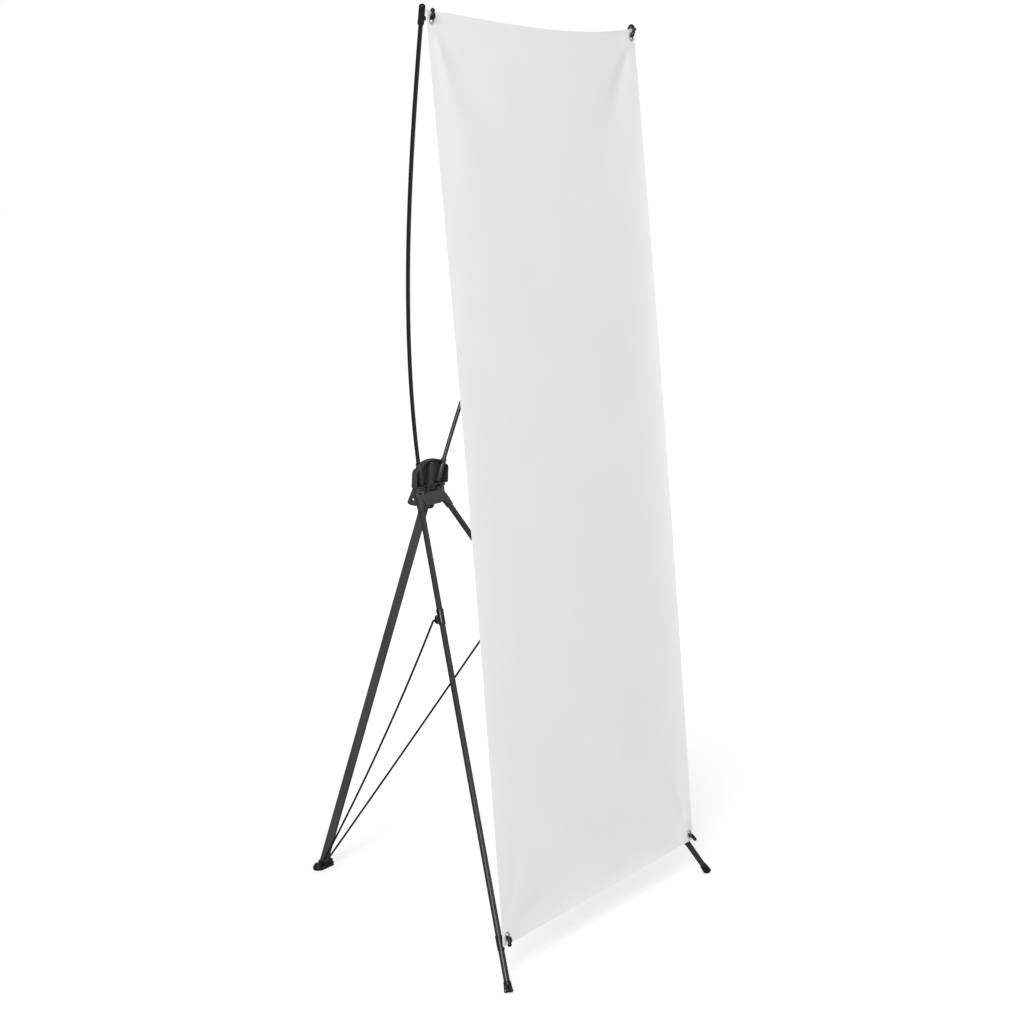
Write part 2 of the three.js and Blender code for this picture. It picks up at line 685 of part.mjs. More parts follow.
// Leg yoke: front plate, body, neck, hinge forks under roofs, and rear cheeks
const plateOutline = mirrored(shared(yokePlateShares, yokePlateHalfWidth, yokeHeight, 0, yokeBaseHeight)
  .reverse());
const yokeTop = yokeBaseHeight + yokeHeight;
const yokePlateBack = yokeFront + yokePlateThickness;
let yoke = union(
  acrossY(roundedShape(plateOutline, blockCornerRadius), yokeFront, yokePlateThickness),
  box(-yokeBodyHalfWidth, yokeBodyHalfWidth, yokePlateBack - fitGap, yokeBodyBack, yokeBaseHeight, yokeTop),
  box(-neckHalfWidth, neckHalfWidth, neckFront, neckBack, neckBottomHeight, neckTop));
const rearPinFit = rearPinRadius + fitGap;
const cheekInner = rearEyeThickness / 2 + fitGap;
const cheekOuter = cheekInner + cheekThickness;
const cheekOutline = shared(cheekOutlineShares, cheekDepth, cheekHeight, cheekFront, cheekBaseHeight);
for (const start of [-cheekOuter, cheekInner]) {
  yoke = union(yoke, acrossX(roundedShape(cheekOutline, blockCornerRadius), start, cheekThickness));
}
const eyeRoom = rod(rearPivot.clone().setX(-cheekInner), rearPivot.clone().setX(cheekInner),
  rearEyeRadius + fitGap * 2, fineFacets);
const rearPinBore = rod(rearPivot.clone().setX(-cheekOuter - cutOver),
  rearPivot.clone().setX(cheekOuter + cutOver), rearPinFit);
const tongueRoom = box(-tongueHalfWidth - fitGap, tongueHalfWidth + fitGap, neckBack, blockBack + cutOver,
  blockBaseHeight - tongueLength - fitGap, blockBaseHeight);
yoke = cut(yoke, eyeRoom, rearPinBore, screwBore, tongueRoom);

// Cored pockets open at the back of the body
const coreTop = neckBottomHeight - yokeCoreWall;
for (const side of Object.values(sides)) {
  const edges = [side * (cheekOuter + yokeCoreWall), side * (yokeBodyHalfWidth - yokeCoreWall)];
  yoke = cut(yoke, box(Math.min(...edges), Math.max(...edges), yokePlateBack + yokeCoreWall,
    yokeBodyBack + cutOver, yokeBaseHeight + yokeCoreWall, coreTop));
}

// Room swept about X by a strip that hangs below the hinge, from rest to its folded angle
function sweptStrip(halfWidth, halfDepth, start, fold) {
  const end = socketLength + cutOver;
  const at = (across, down, angle) => [across * Math.cos(angle) + down * Math.sin(angle),
    across * Math.sin(angle) - down * Math.cos(angle)];
  const shape = new THREE.Shape();
  shape.moveTo(...at(-halfDepth, start, 0));
  shape.lineTo(...at(-halfDepth, end, 0));
  shape.lineTo(...at(halfDepth, end, 0));
  shape.lineTo(...at(0, end, fold));
  shape.lineTo(...at(halfDepth, end, fold));
  shape.lineTo(...at(halfDepth, start, fold));
  for (const share of [1, 0.75, 0.5, 0.25, 0]) shape.lineTo(...at(0, start, fold * share));
  shape.closePath();
  return extruded(shape, halfWidth * 2, new THREE.Matrix4()
    .makeBasis(vec(0, 1, 0), vec(0, 0, 1), vec(1, 0, 0)).setPosition(-halfWidth, 0, 0));
}

const forkInner = knuckleThickness / 2 + forkGap;
const forkOuter = forkInner + forkEarThickness;
const roofBottom = knuckleRadius + roofGap;
const roofTop = roofBottom + roofThickness;
const frontLegs = {};
for (const [sideName, side] of Object.entries(sides)) {
  const leg = standingGroup(legHinge(side), footPoint(side));
  stand.add(leg);
  leg.updateMatrixWorld(true);
  frontLegs[sideName] = leg;

  // Hinge frame: X along the pin, Z straight up
  const pinWay = vec(1, 0, 0).applyQuaternion(leg.quaternion);
  const hinge = new THREE.Matrix4().makeBasis(pinWay, up.clone().cross(pinWay), up).setPosition(leg.position);
  const earLoop = new THREE.Shape();
  earLoop.moveTo(forkEarRadius, roofTop);
  earLoop.lineTo(-forkEarRadius, roofTop);
  earLoop.absarc(0, 0, forkEarRadius, Math.PI, Math.PI * 2);
  earLoop.closePath();
  const fork = union(
    ...[-forkOuter, forkInner].map((start) => extruded(earLoop, forkEarThickness, new THREE.Matrix4()
      .makeBasis(vec(0, 1, 0), vec(0, 0, 1), vec(1, 0, 0)).setPosition(start, 0, 0), loopFacets)),
    box(-forkOuter, forkOuter, -forkEarRadius, forkEarRadius, roofBottom, roofTop));
  const knuckleRoom = rod(vec(-forkInner, 0, 0), vec(forkInner, 0, 0), knuckleRadius + roofGap, fineFacets);
  const pinBore = rod(vec(-forkOuter - cutOver, 0, 0), vec(forkOuter + cutOver, 0, 0), legPinRadius + fitGap);
  const headRoom = [-1, 1].map((end) => rod(vec(end * forkOuter, 0, 0),
    vec(end * (forkOuter + cutOver), 0, 0), pinHeadRadius + fitGap));
  yoke = yoke.add(fork.transform(hinge.elements));
  yoke = cut(yoke, ...[knuckleRoom, pinBore, ...headRoom].map((tool) => tool.transform(hinge.elements)));

  // Room that the socket and its throat sweep as the leg swings down under the hub
  const fold = Math.acos(vec(0, 0, 1).applyQuaternion(leg.quaternion).z);
  const socketSweep = sweptStrip(socketRadius + fitGap * 2, socketRadius + fitGap * 2, knuckleRadius, fold);
  const throatSweep = sweptStrip(forkInner, throatHalfDepth + fitGap * 2, 0, fold);
  yoke = cut(yoke, ...[socketSweep, throatSweep].map((tool) => tool.transform(leg.matrixWorld.elements)));

  // Hinge pin with a low head at each end
  const pinEnd = forkOuter + fitGap;
  const pinBody = union(rod(vec(-pinEnd, 0, 0), vec(pinEnd, 0, 0), legPinRadius),
    ...[-1, 1].map((end) => rod(vec(end * pinEnd, 0, 0),
      vec(end * (pinEnd + pinHeadHeight), 0, 0), pinHeadRadius)));
  addPart(stand, `front_leg_pin_${sideName}`, pinBody.transform(hinge.elements), steelLook);
}
addPart(stand, 'leg_yoke', yoke, greyPlasticLook);

const rearPinEnd = cheekOuter + fitGap;
const rearPinBody = union(
  rod(rearPivot.clone().setX(-rearPinEnd), rearPivot.clone().setX(rearPinEnd), rearPinRadius),
  ...[-1, 1].map((end) => rod(rearPivot.clone().setX(end * rearPinEnd),
    rearPivot.clone().setX(end * (rearPinEnd + pinHeadHeight)), rearPinHeadRadius)));
addPart(stand, 'rear_leg_pin', rearPinBody, steelLook);

// Front legs, each in its own frame: X along the hinge pin, Z up along the leg
for (const [sideName, side] of Object.entries(sides)) {
  const leg = frontLegs[sideName];
  const local = intoGroup(leg);
  const length = legHinge(side).distanceTo(footPoint(side));

  const socketBarrel = turned([[0, -socketLength], [socketMouthRadius, -socketLength],
    [socketMouthRadius, -socketLength + footCapRim], [socketRadius, -knuckleRadius - socketShoulderLength],
    [socketRadius, -knuckleRadius - fitGap - collarChamfer],
    [socketRadius - collarChamfer, -knuckleRadius - fitGap], [0, -knuckleRadius - fitGap]]);
  const throat = box(-knuckleThickness / 2, knuckleThickness / 2, -throatHalfDepth, throatHalfDepth,
    -knuckleRadius - socketShoulderLength / 2, 0);
  const knuckle = rod(vec(-knuckleThickness / 2, 0, 0), vec(knuckleThickness / 2, 0, 0),
    knuckleRadius, fineFacets);
  const tubeTop = -socketLength + socketDepth;
  const socketBody = cut(union(socketBarrel, knuckle, throat),
    rod(vec(-knuckleThickness, 0, 0), vec(knuckleThickness, 0, 0), legPinRadius + fitGap),
    rod(vec(0, 0, tubeTop + fitGap), vec(0, 0, -socketLength - cutOver), legTubeRadius + fitGap, fineFacets));
  addPart(leg, `leg_socket_${sideName}`, socketBody, plasticLook);

  const tubeEnd = -length + footCapSeat;
  addPart(leg, `front_leg_tube_${sideName}`,
    pipe(legTubeRadius - legTubeWall, legTubeRadius, tubeEnd, tubeTop, tubeFacets), tubeLook);

  // Plane of the front leg and the rear leg, which the strut lies beside
  const legDown = footPoint(side).sub(legHinge(side)).normalize();
  const rearDown = rearGround.clone().sub(rearPivot).normalize();
  const across = legDown.clone().cross(rearDown).normalize().multiplyScalar(-side);
  const inward = across.clone().cross(legDown).normalize().multiplyScalar(-side);
  const lugWay = inward.clone().transformDirection(local);
  const sideWay = across.clone().transformDirection(local);
  const lugBasis = new THREE.Matrix4().makeBasis(lugWay, vec(0, 0, 1), lugWay.clone().cross(vec(0, 0, 1)));
  const faceSign = Math.sign(lugWay.clone().cross(vec(0, 0, 1)).dot(sideWay));

  const collarTop = -collarBelowHinge;
  const collarBottom = collarTop - collarLength;
  const collarBody = turned([[0, collarBottom], [collarRadius - collarChamfer, collarBottom],
    [collarRadius, collarBottom + collarChamfer], [collarRadius, collarTop - collarRimHeight],
    [collarRimRadius, collarTop - collarRimHeight + collarChamfer],
    [collarRimRadius, collarTop - collarChamfer],
    [collarRimRadius - collarChamfer, collarTop], [0, collarTop]]);
  const lugShape = new THREE.Shape();
  lugShape.moveTo(0, -lugFootHeight);
  lugShape.lineTo(collarRadius - collarChamfer, -lugFootHeight);
  lugShape.lineTo(lugReach + lugBossRadius * Math.SQRT1_2, -lugBossRadius * Math.SQRT1_2);
  lugShape.absarc(lugReach, 0, lugBossRadius, -Math.PI / 4, Math.PI / 4);
  lugShape.lineTo(collarRadius - collarChamfer, lugFootHeight);
  lugShape.lineTo(0, lugFootHeight);
  lugShape.closePath();
  const lugStart = faceSign > 0 ? -lugFace : lugFace - lugThickness;
  const lugPlace = lugBasis.clone().setPosition(0, 0, -lugBelowHinge)
    .multiply(new THREE.Matrix4().makeTranslation(0, 0, lugStart));
  const lug = extruded(lugShape, lugThickness, lugPlace, loopFacets);
  const eyeAt = lugWay.clone().multiplyScalar(lugReach).add(vec(0, 0, -lugBelowHinge));
  const eye = rod(eyeAt.clone().addScaledVector(sideWay, -lugFace - cutOver),
    eyeAt.clone().addScaledVector(sideWay, -lugFace + lugEyeDepth), strutRadius + fitGap);
  const collarBore = rod(vec(0, 0, collarTop + cutOver), vec(0, 0, collarBottom - cutOver),
    legTubeRadius + fitGap, fineFacets);
  addPart(leg, `leg_collar_${sideName}`, cut(union(collarBody, lug), eye, collarBore), plasticLook);

  // Strut: wire bowed a little inwards, with a bent end in the rear foot and one at the lug's face
  const upper = legHinge(side).addScaledVector(legDown, lugBelowHinge).addScaledVector(inward, lugReach)
    .addScaledVector(across, -strutUpperSide);
  const upperEnd = upper.clone().addScaledVector(across, strutUpperSide - lugFace - fitGap);
  const lower = strutPin(side);
  const lowerEnd = lower.clone().setX(side * (rearTubeWidth / 2 - rearTubeWall));
  const pull = lower.clone().add(upper).divideScalar(2).addScaledVector(across, strutBow * 2);
  const run = solid(new THREE.ExtrudeGeometry(roundSection(strutRadius),
    { steps: strutSteps, extrudePath: new THREE.QuadraticBezierCurve3(lower, pull, upper) }));
  const ends = [[lowerEnd, lower], [upperEnd, upper]].flatMap(([end, elbow]) => [
    rod(end, elbow, strutRadius, wireFacets), ball(elbow, strutRadius, wireFacets)]);
  const strut = union(run, ...ends);
  addPart(stand, `strut_${sideName}`, strut, tubeLook);

  // Lower clip with the hook that holds the banner's lower eyelet down
  const eyelet = eyeletInStand(side, 'bottom');
  const rootAlong = (legHingeHeight - eyelet.z + clipHookBelowEyelet) / -legDown.z;
  const clipTop = -rootAlong + clipAboveRoot;
  const clipBottom = clipTop - clipLength;
  const groove = clipBottom + clipGrooveUp;
  const clipShell = turned([[0, clipBottom], [clipRadius, clipBottom], [clipRadius, groove],
    [clipRadius - clipGrooveDepth, groove], [clipRadius - clipGrooveDepth, groove + clipGrooveHeight],
    [clipRadius, groove + clipGrooveHeight], [clipRadius, clipTop - clipLipHeight],
    [clipLipRadius, clipTop - clipLipHeight], [clipLipRadius, clipTop], [0, clipTop]]);
  const root = legHinge(side).addScaledVector(legDown, rootAlong);
  const stem = eyelet.clone().sub(vec(0, 0, hookSeat));
  const tipPoint = eyelet.clone().add(vec(side * lowerTipOutward, -lowerTipForward, -lowerTipDown));
  const clipHook = hook(root, stem, lowerHookForward, tipPoint).transform(local.elements);
  const clipBore = rod(vec(0, 0, clipTop + cutOver), vec(0, 0, clipBottom - cutOver),
    legTubeRadius + fitGap, fineFacets);
  addPart(leg, `lower_clip_${sideName}`, cut(union(clipShell, clipHook), clipBore), plasticLook);

  // Rubber foot cap, fluted, cut flat where it meets the floor; its frame stands upright at the foot point
  const footFrame = new THREE.Group();
  footFrame.position.copy(footPoint(side));
  stand.add(footFrame);
  const capShape = turned([[0, -footCapRadius], [footCapRadius, -footCapRadius], [footCapRadius, footCapSeat],
    [footCapTopRadius, footCapLength - footCapRim], [footCapTopRadius, footCapLength], [0, footCapLength]],
  fluteCount * 2);
  const flutes = [];
  for (let i = 0; i < fluteCount; i += 1) {
    const angle = Math.PI * 2 * i / fluteCount;
    const at = (radius, height) => vec(radius * Math.cos(angle), radius * Math.sin(angle), height);
    flutes.push(rod(at(footCapRadius + fluteRadius / 2, -footCapRadius - cutOver),
      at(footCapTopRadius + fluteRadius / 2, footCapLength - footCapRim * 2), fluteRadius, fluteFacets));
  }
  const tubeRoom = rod(vec(0, 0, footCapSeat - fitGap), vec(0, 0, footCapLength + cutOver),
    legTubeRadius + fitGap, fineFacets);
  const legTurn = new THREE.Matrix4().makeRotationFromQuaternion(leg.quaternion);
  const reach = footCapLength;
  const floorCut = box(-reach, reach, -reach, reach, -reach, 0);
  const capBody = cut(cut(capShape, ...flutes, tubeRoom).transform(legTurn.elements), floorCut);
  addPart(footFrame, `foot_cap_${sideName}`, capBody, rubberLook);
}

// Rear leg plug: eye on the pin, shoulder, and a stub inside the tube
const rearLength = rearFall.length();
const tubeOutline = (shrink) => stadium(rearTubeDepth - shrink * 2, rearTubeWidth - shrink * 2);
const uprightOval = new THREE.Matrix4().makeRotationZ(Math.PI / 2);
const oval = (shrink, bottom, top) => extruded(tubeOutline(shrink), top - bottom,
  new THREE.Matrix4().makeTranslation(0, 0, bottom).multiply(uprightOval), ovalFacets);
const eyeBody = rod(vec(-rearEyeThickness / 2, 0, 0), vec(rearEyeThickness / 2, 0, 0),
  rearEyeRadius, fineFacets);
const plugBody = cut(union(eyeBody, oval(0, -rearTubeStart + fitGap, -rearEyeRadius / 2),
  oval(rearTubeWall + fitGap, -rearTubeStart - rearPlugLength, -rearTubeStart + fitGap * 2)),
rod(vec(-rearEyeThickness, 0, 0), vec(rearEyeThickness, 0, 0), rearPinRadius + fitGap));
addPart(rearLeg, 'rear_leg_plug', plugBody, plasticLook);

const rearDownZ = Math.cos(rearLeg.rotation.x);
const rearTubeEnd = -(rearPivotHeight - rearTubeFloorGap) / rearDownZ;
const pinRoom = (radius) => rod(strutPin(-1).setX(-padWidth), strutPin(1).setX(padWidth), radius, tubeFacets);
const rearLocal = intoGroup(rearLeg);
const strutHole = pinRoom(strutRadius + strutEyeClearance);
const rearTubeBody = cut(cut(oval(0, rearTubeEnd, -rearTubeStart), oval(rearTubeWall, rearTubeEnd - cutOver,
  -rearTubeStart + cutOver)), strutHole.transform(rearLocal.elements));
addPart(rearLeg, 'rear_leg_tube', rearTubeBody, tubeLook);

// Rear foot: stadium pad with raised ends and a boss that grips the tube
const footGroup = new THREE.Group();
footGroup.position.z = -rearLength;
footGroup.rotation.x = -rearLeg.rotation.x;
rearLeg.add(footGroup);
const footLocal = intoGroup(footGroup);
const padCentre = -padForward;
function roundedPad(length, width, height, round, centreX) {
  const shape = stadium(length - round * 2, width - round * 2);
  const geometry = new THREE.ExtrudeGeometry(shape, { depth: height - round, curveSegments: padFacets,
    bevelThickness: round, bevelSize: round, bevelSegments: 2 });
  geometry.translate(centreX, padCentre, 0);
  return solid(geometry);
}
const below = box(-padWidth, padWidth, -padWidth, padWidth, -padWidth, 0);
const endCentre = padWidth / 2 - padEndRadius - padRound;
const tubeInFoot = oval(-fitGap, rearTubeEnd - fitGap, -rearTubeStart).transform(
  footLocal.clone().multiply(rearLeg.matrixWorld).elements);
const bossInFoot = oval(-fitGap - padBossWall, rearTubeEnd - cutOver, -rearTubeStart).transform(
  footLocal.clone().multiply(rearLeg.matrixWorld).elements)
  .intersect(box(-padWidth, padWidth, -padWidth, padWidth, padPocketFloor, padBossHeight));
const padBody = cut(union(roundedPad(padWidth, padDepth, padHeight, padRound, 0),
  ...[-1, 1].map((end) => roundedPad(padEndRadius * 2, padEndRadius * 2, padHeight + padEndRise, padRound,
    end * endCentre)), bossInFoot), below, tubeInFoot, strutHole.transform(footLocal.elements));
addPart(footGroup, 'rear_foot', padBody, rubberLook);

// The stand's origin lies on the floor, midway between its front and back
const extent = new THREE.Box3().setFromObject(stand, true);
stand.position.y = -(extent.min.y + extent.max.y) / 2;

export default stand;
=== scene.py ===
import math

import bmesh
import bpy
from mathutils import Matrix, Vector


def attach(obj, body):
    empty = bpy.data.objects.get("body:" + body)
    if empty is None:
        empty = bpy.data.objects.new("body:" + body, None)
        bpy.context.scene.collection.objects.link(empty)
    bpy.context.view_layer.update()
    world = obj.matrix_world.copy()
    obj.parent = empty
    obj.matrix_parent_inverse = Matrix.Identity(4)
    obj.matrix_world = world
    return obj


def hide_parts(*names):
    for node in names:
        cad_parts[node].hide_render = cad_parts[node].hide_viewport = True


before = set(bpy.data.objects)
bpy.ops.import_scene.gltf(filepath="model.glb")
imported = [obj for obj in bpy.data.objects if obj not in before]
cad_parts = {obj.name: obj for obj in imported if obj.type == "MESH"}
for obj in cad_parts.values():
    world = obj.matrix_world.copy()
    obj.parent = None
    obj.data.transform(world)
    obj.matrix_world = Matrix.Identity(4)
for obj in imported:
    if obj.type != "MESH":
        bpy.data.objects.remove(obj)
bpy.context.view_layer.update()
scene = bpy.context.scene


# Camera: standing eye height, in front and to the banner's left, solved from the photograph.
# Turns are in degrees; the place is in metres.
turn_right, turn_down, tilt = math.radians(58.153), math.radians(9.133), math.radians(-0.116)
ahead = Vector((math.sin(turn_right) * math.cos(turn_down),
                math.cos(turn_right) * math.cos(turn_down), -math.sin(turn_down)))
level = Vector((math.cos(turn_right), -math.sin(turn_right), 0))
rise = level.cross(ahead)
camera_data = bpy.data.cameras.new("camera")
camera_data.lens = 77.635
camera_data.sensor_width = 36
camera_data.shift_x = -0.00674
camera_data.shift_y = -0.0075
camera_data.clip_end = 100
camera = bpy.data.objects.new("camera", camera_data)
eye = Vector((-3.8755, -2.5541, 1.6147))
camera.matrix_world = Matrix.Translation(eye) @ Matrix((
    math.cos(tilt) * level + math.sin(tilt) * rise,
    math.cos(tilt) * rise - math.sin(tilt) * level, -ahead)).transposed().to_4x4()
scene.collection.objects.link(camera)
scene.camera = camera


# Studio: white floor and surround, one broad key light from the left, soft light all round.
# The surround and floor show white to the camera; the floor keeps the stand's shadow.
scene.view_settings.view_transform = "Standard"
white = (1, 1, 1, 1)
soft_level, level_for_shiny = 0.82, 0.14
world = bpy.data.worlds.new("studio")
scene.world = world
world.use_nodes = True
tree = world.node_tree
tree.nodes.clear()
surround_out = tree.nodes.new("ShaderNodeOutputWorld")
surround_mix = tree.nodes.new("ShaderNodeMixShader")
ray = tree.nodes.new("ShaderNodeLightPath")
seen_white = tree.nodes.new("ShaderNodeBackground")
seen_white.inputs["Color"].default_value = white
seen_white.inputs["Strength"].default_value = 1.0
soft_light = tree.nodes.new("ShaderNodeBackground")
soft_light.inputs["Color"].default_value = white
surround_level = tree.nodes.new("ShaderNodeMix")
surround_level.inputs["A"].default_value = soft_level
surround_level.inputs["B"].default_value = level_for_shiny
tree.links.new(ray.outputs["Is Glossy Ray"], surround_level.inputs["Factor"])
tree.links.new(surround_level.outputs["Result"], soft_light.inputs["Strength"])
tree.links.new(ray.outputs["Is Camera Ray"], surround_mix.inputs["Fac"])
tree.links.new(soft_light.outputs[0], surround_mix.inputs[1])
tree.links.new(seen_white.outputs[0], surround_mix.inputs[2])
tree.links.new(surround_mix.outputs[0], surround_out.inputs["Surface"])

key_aim = Vector((0, 0, 1.1))
key_data = bpy.data.lights.new("key_left", "AREA")
key_data.shape = "DISK"
key_data.size = 3.3
key_data.energy = 455
key = bpy.data.objects.new("key_left", key_data)
key.location = (-7.0, -2.7, 5.0)
key.rotation_euler = (key_aim - key.location).to_track_quat("-Z", "Y").to_euler()
scene.collection.objects.link(key)

floor_width = 80
near_stand, clear_of_stand = 0.75, 2.4
near_lift, clear_lift = 0.43, 0.56
bpy.ops.mesh.primitive_plane_add(size=floor_width)
floor = bpy.context.object
floor.name = "studio_floor"
floor_white = bpy.data.materials.new("floor_white")
floor_white.use_nodes = True
tree = floor_white.node_tree
floor_out = tree.nodes["Material Output"]
floor_paint = tree.nodes["Principled BSDF"]
floor_paint.inputs["Roughness"].default_value = 0.6
floor_paint.inputs["Specular IOR Level"].default_value = 0.1
glow = tree.nodes.new("ShaderNodeEmission")
ray = tree.nodes.new("ShaderNodeLightPath")
# Shiny pieces see a darker floor than the rest of the stand does
floor_tone = tree.nodes.new("ShaderNodeMix")
floor_tone.data_type = "RGBA"
floor_tone.inputs["A"].default_value = (0.6, 0.6, 0.6, 1)
floor_tone.inputs["B"].default_value = (level_for_shiny, level_for_shiny, level_for_shiny, 1)
# The camera sees it lifted to white, a little less so near the stand, where the shadow falls
floor_place = tree.nodes.new("ShaderNodeTexCoord")
away_from_stand = tree.nodes.new("ShaderNodeVectorMath")
away_from_stand.operation = "LENGTH"
lift_level = tree.nodes.new("ShaderNodeMapRange")
lift_level.interpolation_type = "SMOOTHSTEP"
lift_level.inputs["From Min"].default_value = near_stand
lift_level.inputs["From Max"].default_value = clear_of_stand
lift_level.inputs["To Min"].default_value = near_lift
lift_level.inputs["To Max"].default_value = clear_lift
lift = tree.nodes.new("ShaderNodeMath")
lift.operation = "MULTIPLY"
both = tree.nodes.new("ShaderNodeAddShader")
tree.links.new(ray.outputs["Is Glossy Ray"], floor_tone.inputs["Factor"])
tree.links.new(floor_tone.outputs["Result"], floor_paint.inputs["Base Color"])
tree.links.new(floor_place.outputs["Object"], away_from_stand.inputs[0])
tree.links.new(away_from_stand.outputs["Value"], lift_level.inputs["Value"])
tree.links.new(ray.outputs["Is Camera Ray"], lift.inputs[0])
tree.links.new(lift_level.outputs["Result"], lift.inputs[1])
tree.links.new(lift.outputs[0], glow.inputs["Strength"])
tree.links.new(floor_paint.outputs[0], both.inputs[0])
tree.links.new(glow.outputs[0], both.inputs[1])
tree.links.new(both.outputs[0], floor_out.inputs["Surface"])
floor.data.materials.append(floor_white)


# Hub block: black nylon moulding, an open-fronted tray with ribs and two inclined sleeves
# for the poles, side ears with a hole, and a tongue below that is screwed to the yoke.
# Its shapes are in millimetres and are scaled to metres when the piece is finished.
def make_surface_group():
    """Broad tone changes, fine grain and uneven gloss for a moulded, painted or rubber skin."""
    group = bpy.data.node_groups.new("skin_variation", "ShaderNodeTree")
    for way, kind, names in (
            ("INPUT", "NodeSocketVector", ["Vector"]),
            ("INPUT", "NodeSocketColor", ["Tone", "Pale Tone", "Edge Tone"]),
            ("INPUT", "NodeSocketFloat", ["Edge", "Edge Amount", "Cloud Scale", "Grain Scale",
                                          "Least Roughness", "Most Roughness"]),
            ("OUTPUT", "NodeSocketColor", ["Colour"]),
            ("OUTPUT", "NodeSocketFloat", ["Roughness", "Height"])):
        for name in names:
            group.interface.new_socket(name=name, in_out=way, socket_type=kind)
    nodes, links = group.nodes, group.links
    given = nodes.new("NodeGroupInput")
    put = nodes.new("NodeGroupOutput")
    cloud = nodes.new("ShaderNodeTexNoise")
    cloud.inputs["Detail"].default_value = 4
    grain = nodes.new("ShaderNodeTexNoise")
    grain.inputs["Detail"].default_value = 2
    links.new(given.outputs["Vector"], cloud.inputs["Vector"])
    links.new(given.outputs["Vector"], grain.inputs["Vector"])
    links.new(given.outputs["Cloud Scale"], cloud.inputs["Scale"])
    links.new(given.outputs["Grain Scale"], grain.inputs["Scale"])
    spread = nodes.new("ShaderNodeMapRange")
    spread.inputs["From Min"].default_value = 0.35
    spread.inputs["From Max"].default_value = 0.65
    links.new(cloud.outputs["Fac"], spread.inputs["Value"])
    tone = nodes.new("ShaderNodeMix")
    tone.data_type = "RGBA"
    links.new(spread.outputs["Result"], tone.inputs["Factor"])
    links.new(given.outputs["Tone"], tone.inputs["A"])
    links.new(given.outputs["Pale Tone"], tone.inputs["B"])
    rim = nodes.new("ShaderNodeMapRange")
    rim.inputs["From Min"].default_value = 0.52
    rim.inputs["From Max"].default_value = 0.62
    links.new(given.outputs["Edge"], rim.inputs["Value"])
    links.new(given.outputs["Edge Amount"], rim.inputs["To Max"])
    worn = nodes.new("ShaderNodeMix")
    worn.data_type = "RGBA"
    links.new(rim.outputs["Result"], worn.inputs["Factor"])
    links.new(tone.outputs["Result"], worn.inputs["A"])
    links.new(given.outputs["Edge Tone"], worn.inputs["B"])
    gloss = nodes.new("ShaderNodeMapRange")
    links.new(cloud.outputs["Fac"], gloss.inputs["Value"])
    gloss.inputs["From Min"].default_value = 0.3
    gloss.inputs["From Max"].default_value = 0.7
    links.new(given.outputs["Least Roughness"], gloss.inputs["To Min"])
    links.new(given.outputs["Most Roughness"], gloss.inputs["To Max"])
    links.new(worn.outputs["Result"], put.inputs["Colour"])
    links.new(gloss.outputs["Result"], put.inputs["Roughness"])
    links.new(grain.outputs["Fac"], put.inputs["Height"])
    return group


skin_variation = make_surface_group()


def skin(name, tone, pale, edge, edge_amount, cloud, grain, roughness, bump, metallic=0.0,
         along=None, squeeze=(1, 1, 1)):
    """Finish made from the skin group; along names a mesh attribute that the grain follows."""
    made = bpy.data.materials.new(name)
    made.use_nodes = True
    nodes, links = made.node_tree.nodes, made.node_tree.links
    shader = nodes["Principled BSDF"]
    shader.inputs["Metallic"].default_value = metallic
    group = nodes.new("ShaderNodeGroup")
    group.node_tree = skin_variation
    group.inputs["Tone"].default_value = (*tone, 1)
    group.inputs["Pale Tone"].default_value = (*pale, 1)
    group.inputs["Edge Tone"].default_value = (*edge, 1)
    group.inputs["Edge Amount"].default_value = edge_amount
    group.inputs["Cloud Scale"].default_value = cloud
    group.inputs["Grain Scale"].default_value = grain
    group.inputs["Least Roughness"].default_value = roughness[0]
    group.inputs["Most Roughness"].default_value = roughness[1]
    if along:
        place = nodes.new("ShaderNodeAttribute")
        place.attribute_name = along
        start = place.outputs["Vector"]
    else:
        start = nodes.new("ShaderNodeTexCoord").outputs["Object"]
    mapping = nodes.new("ShaderNodeMapping")
    mapping.inputs["Scale"].default_value = squeeze
    links.new(start, mapping.inputs["Vector"])
    links.new(mapping.outputs[0], group.inputs["Vector"])
    shape = nodes.new("ShaderNodeNewGeometry")
    links.new(shape.outputs["Pointiness"], group.inputs["Edge"])
    relief = nodes.new("ShaderNodeBump")
    relief.inputs["Strength"].default_value = bump
    relief.inputs["Distance"].default_value = 0.0002
    links.new(group.outputs["Height"], relief.inputs["Height"])
    links.new(group.outputs["Colour"], shader.inputs["Base Color"])
    links.new(group.outputs["Roughness"], shader.inputs["Roughness"])
    links.new(relief.outputs[0], shader.inputs["Normal"])
    return made


metre = 1000.0
sharp_from = math.radians(32)


def finished(bm, name, finish, body, node, round_edges=0.0):
    """Object in metres from a shape in millimetres; it rides on its body and replaces its CAD node."""
    bmesh.ops.scale(bm, vec=(1 / metre, 1 / metre, 1 / metre), verts=bm.verts)
    mesh = bpy.data.meshes.new(name)
    bm.to_mesh(mesh)
    bm.free()
    mesh.shade_smooth()
    mesh.set_sharp_from_angle(angle=sharp_from)
    mesh.materials.append(finish)
    piece = bpy.data.objects.new(name, mesh)
    scene.collection.objects.link(piece)
    if round_edges:
        bevel = piece.modifiers.new("rounded_edges", "BEVEL")
        bevel.width = round_edges / metre
        bevel.segments = 2
        bevel.limit_method = "ANGLE"
        bevel.angle_limit = sharp_from
        bevel.harden_normals = True
    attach(piece, body)
    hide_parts(node)
    return piece


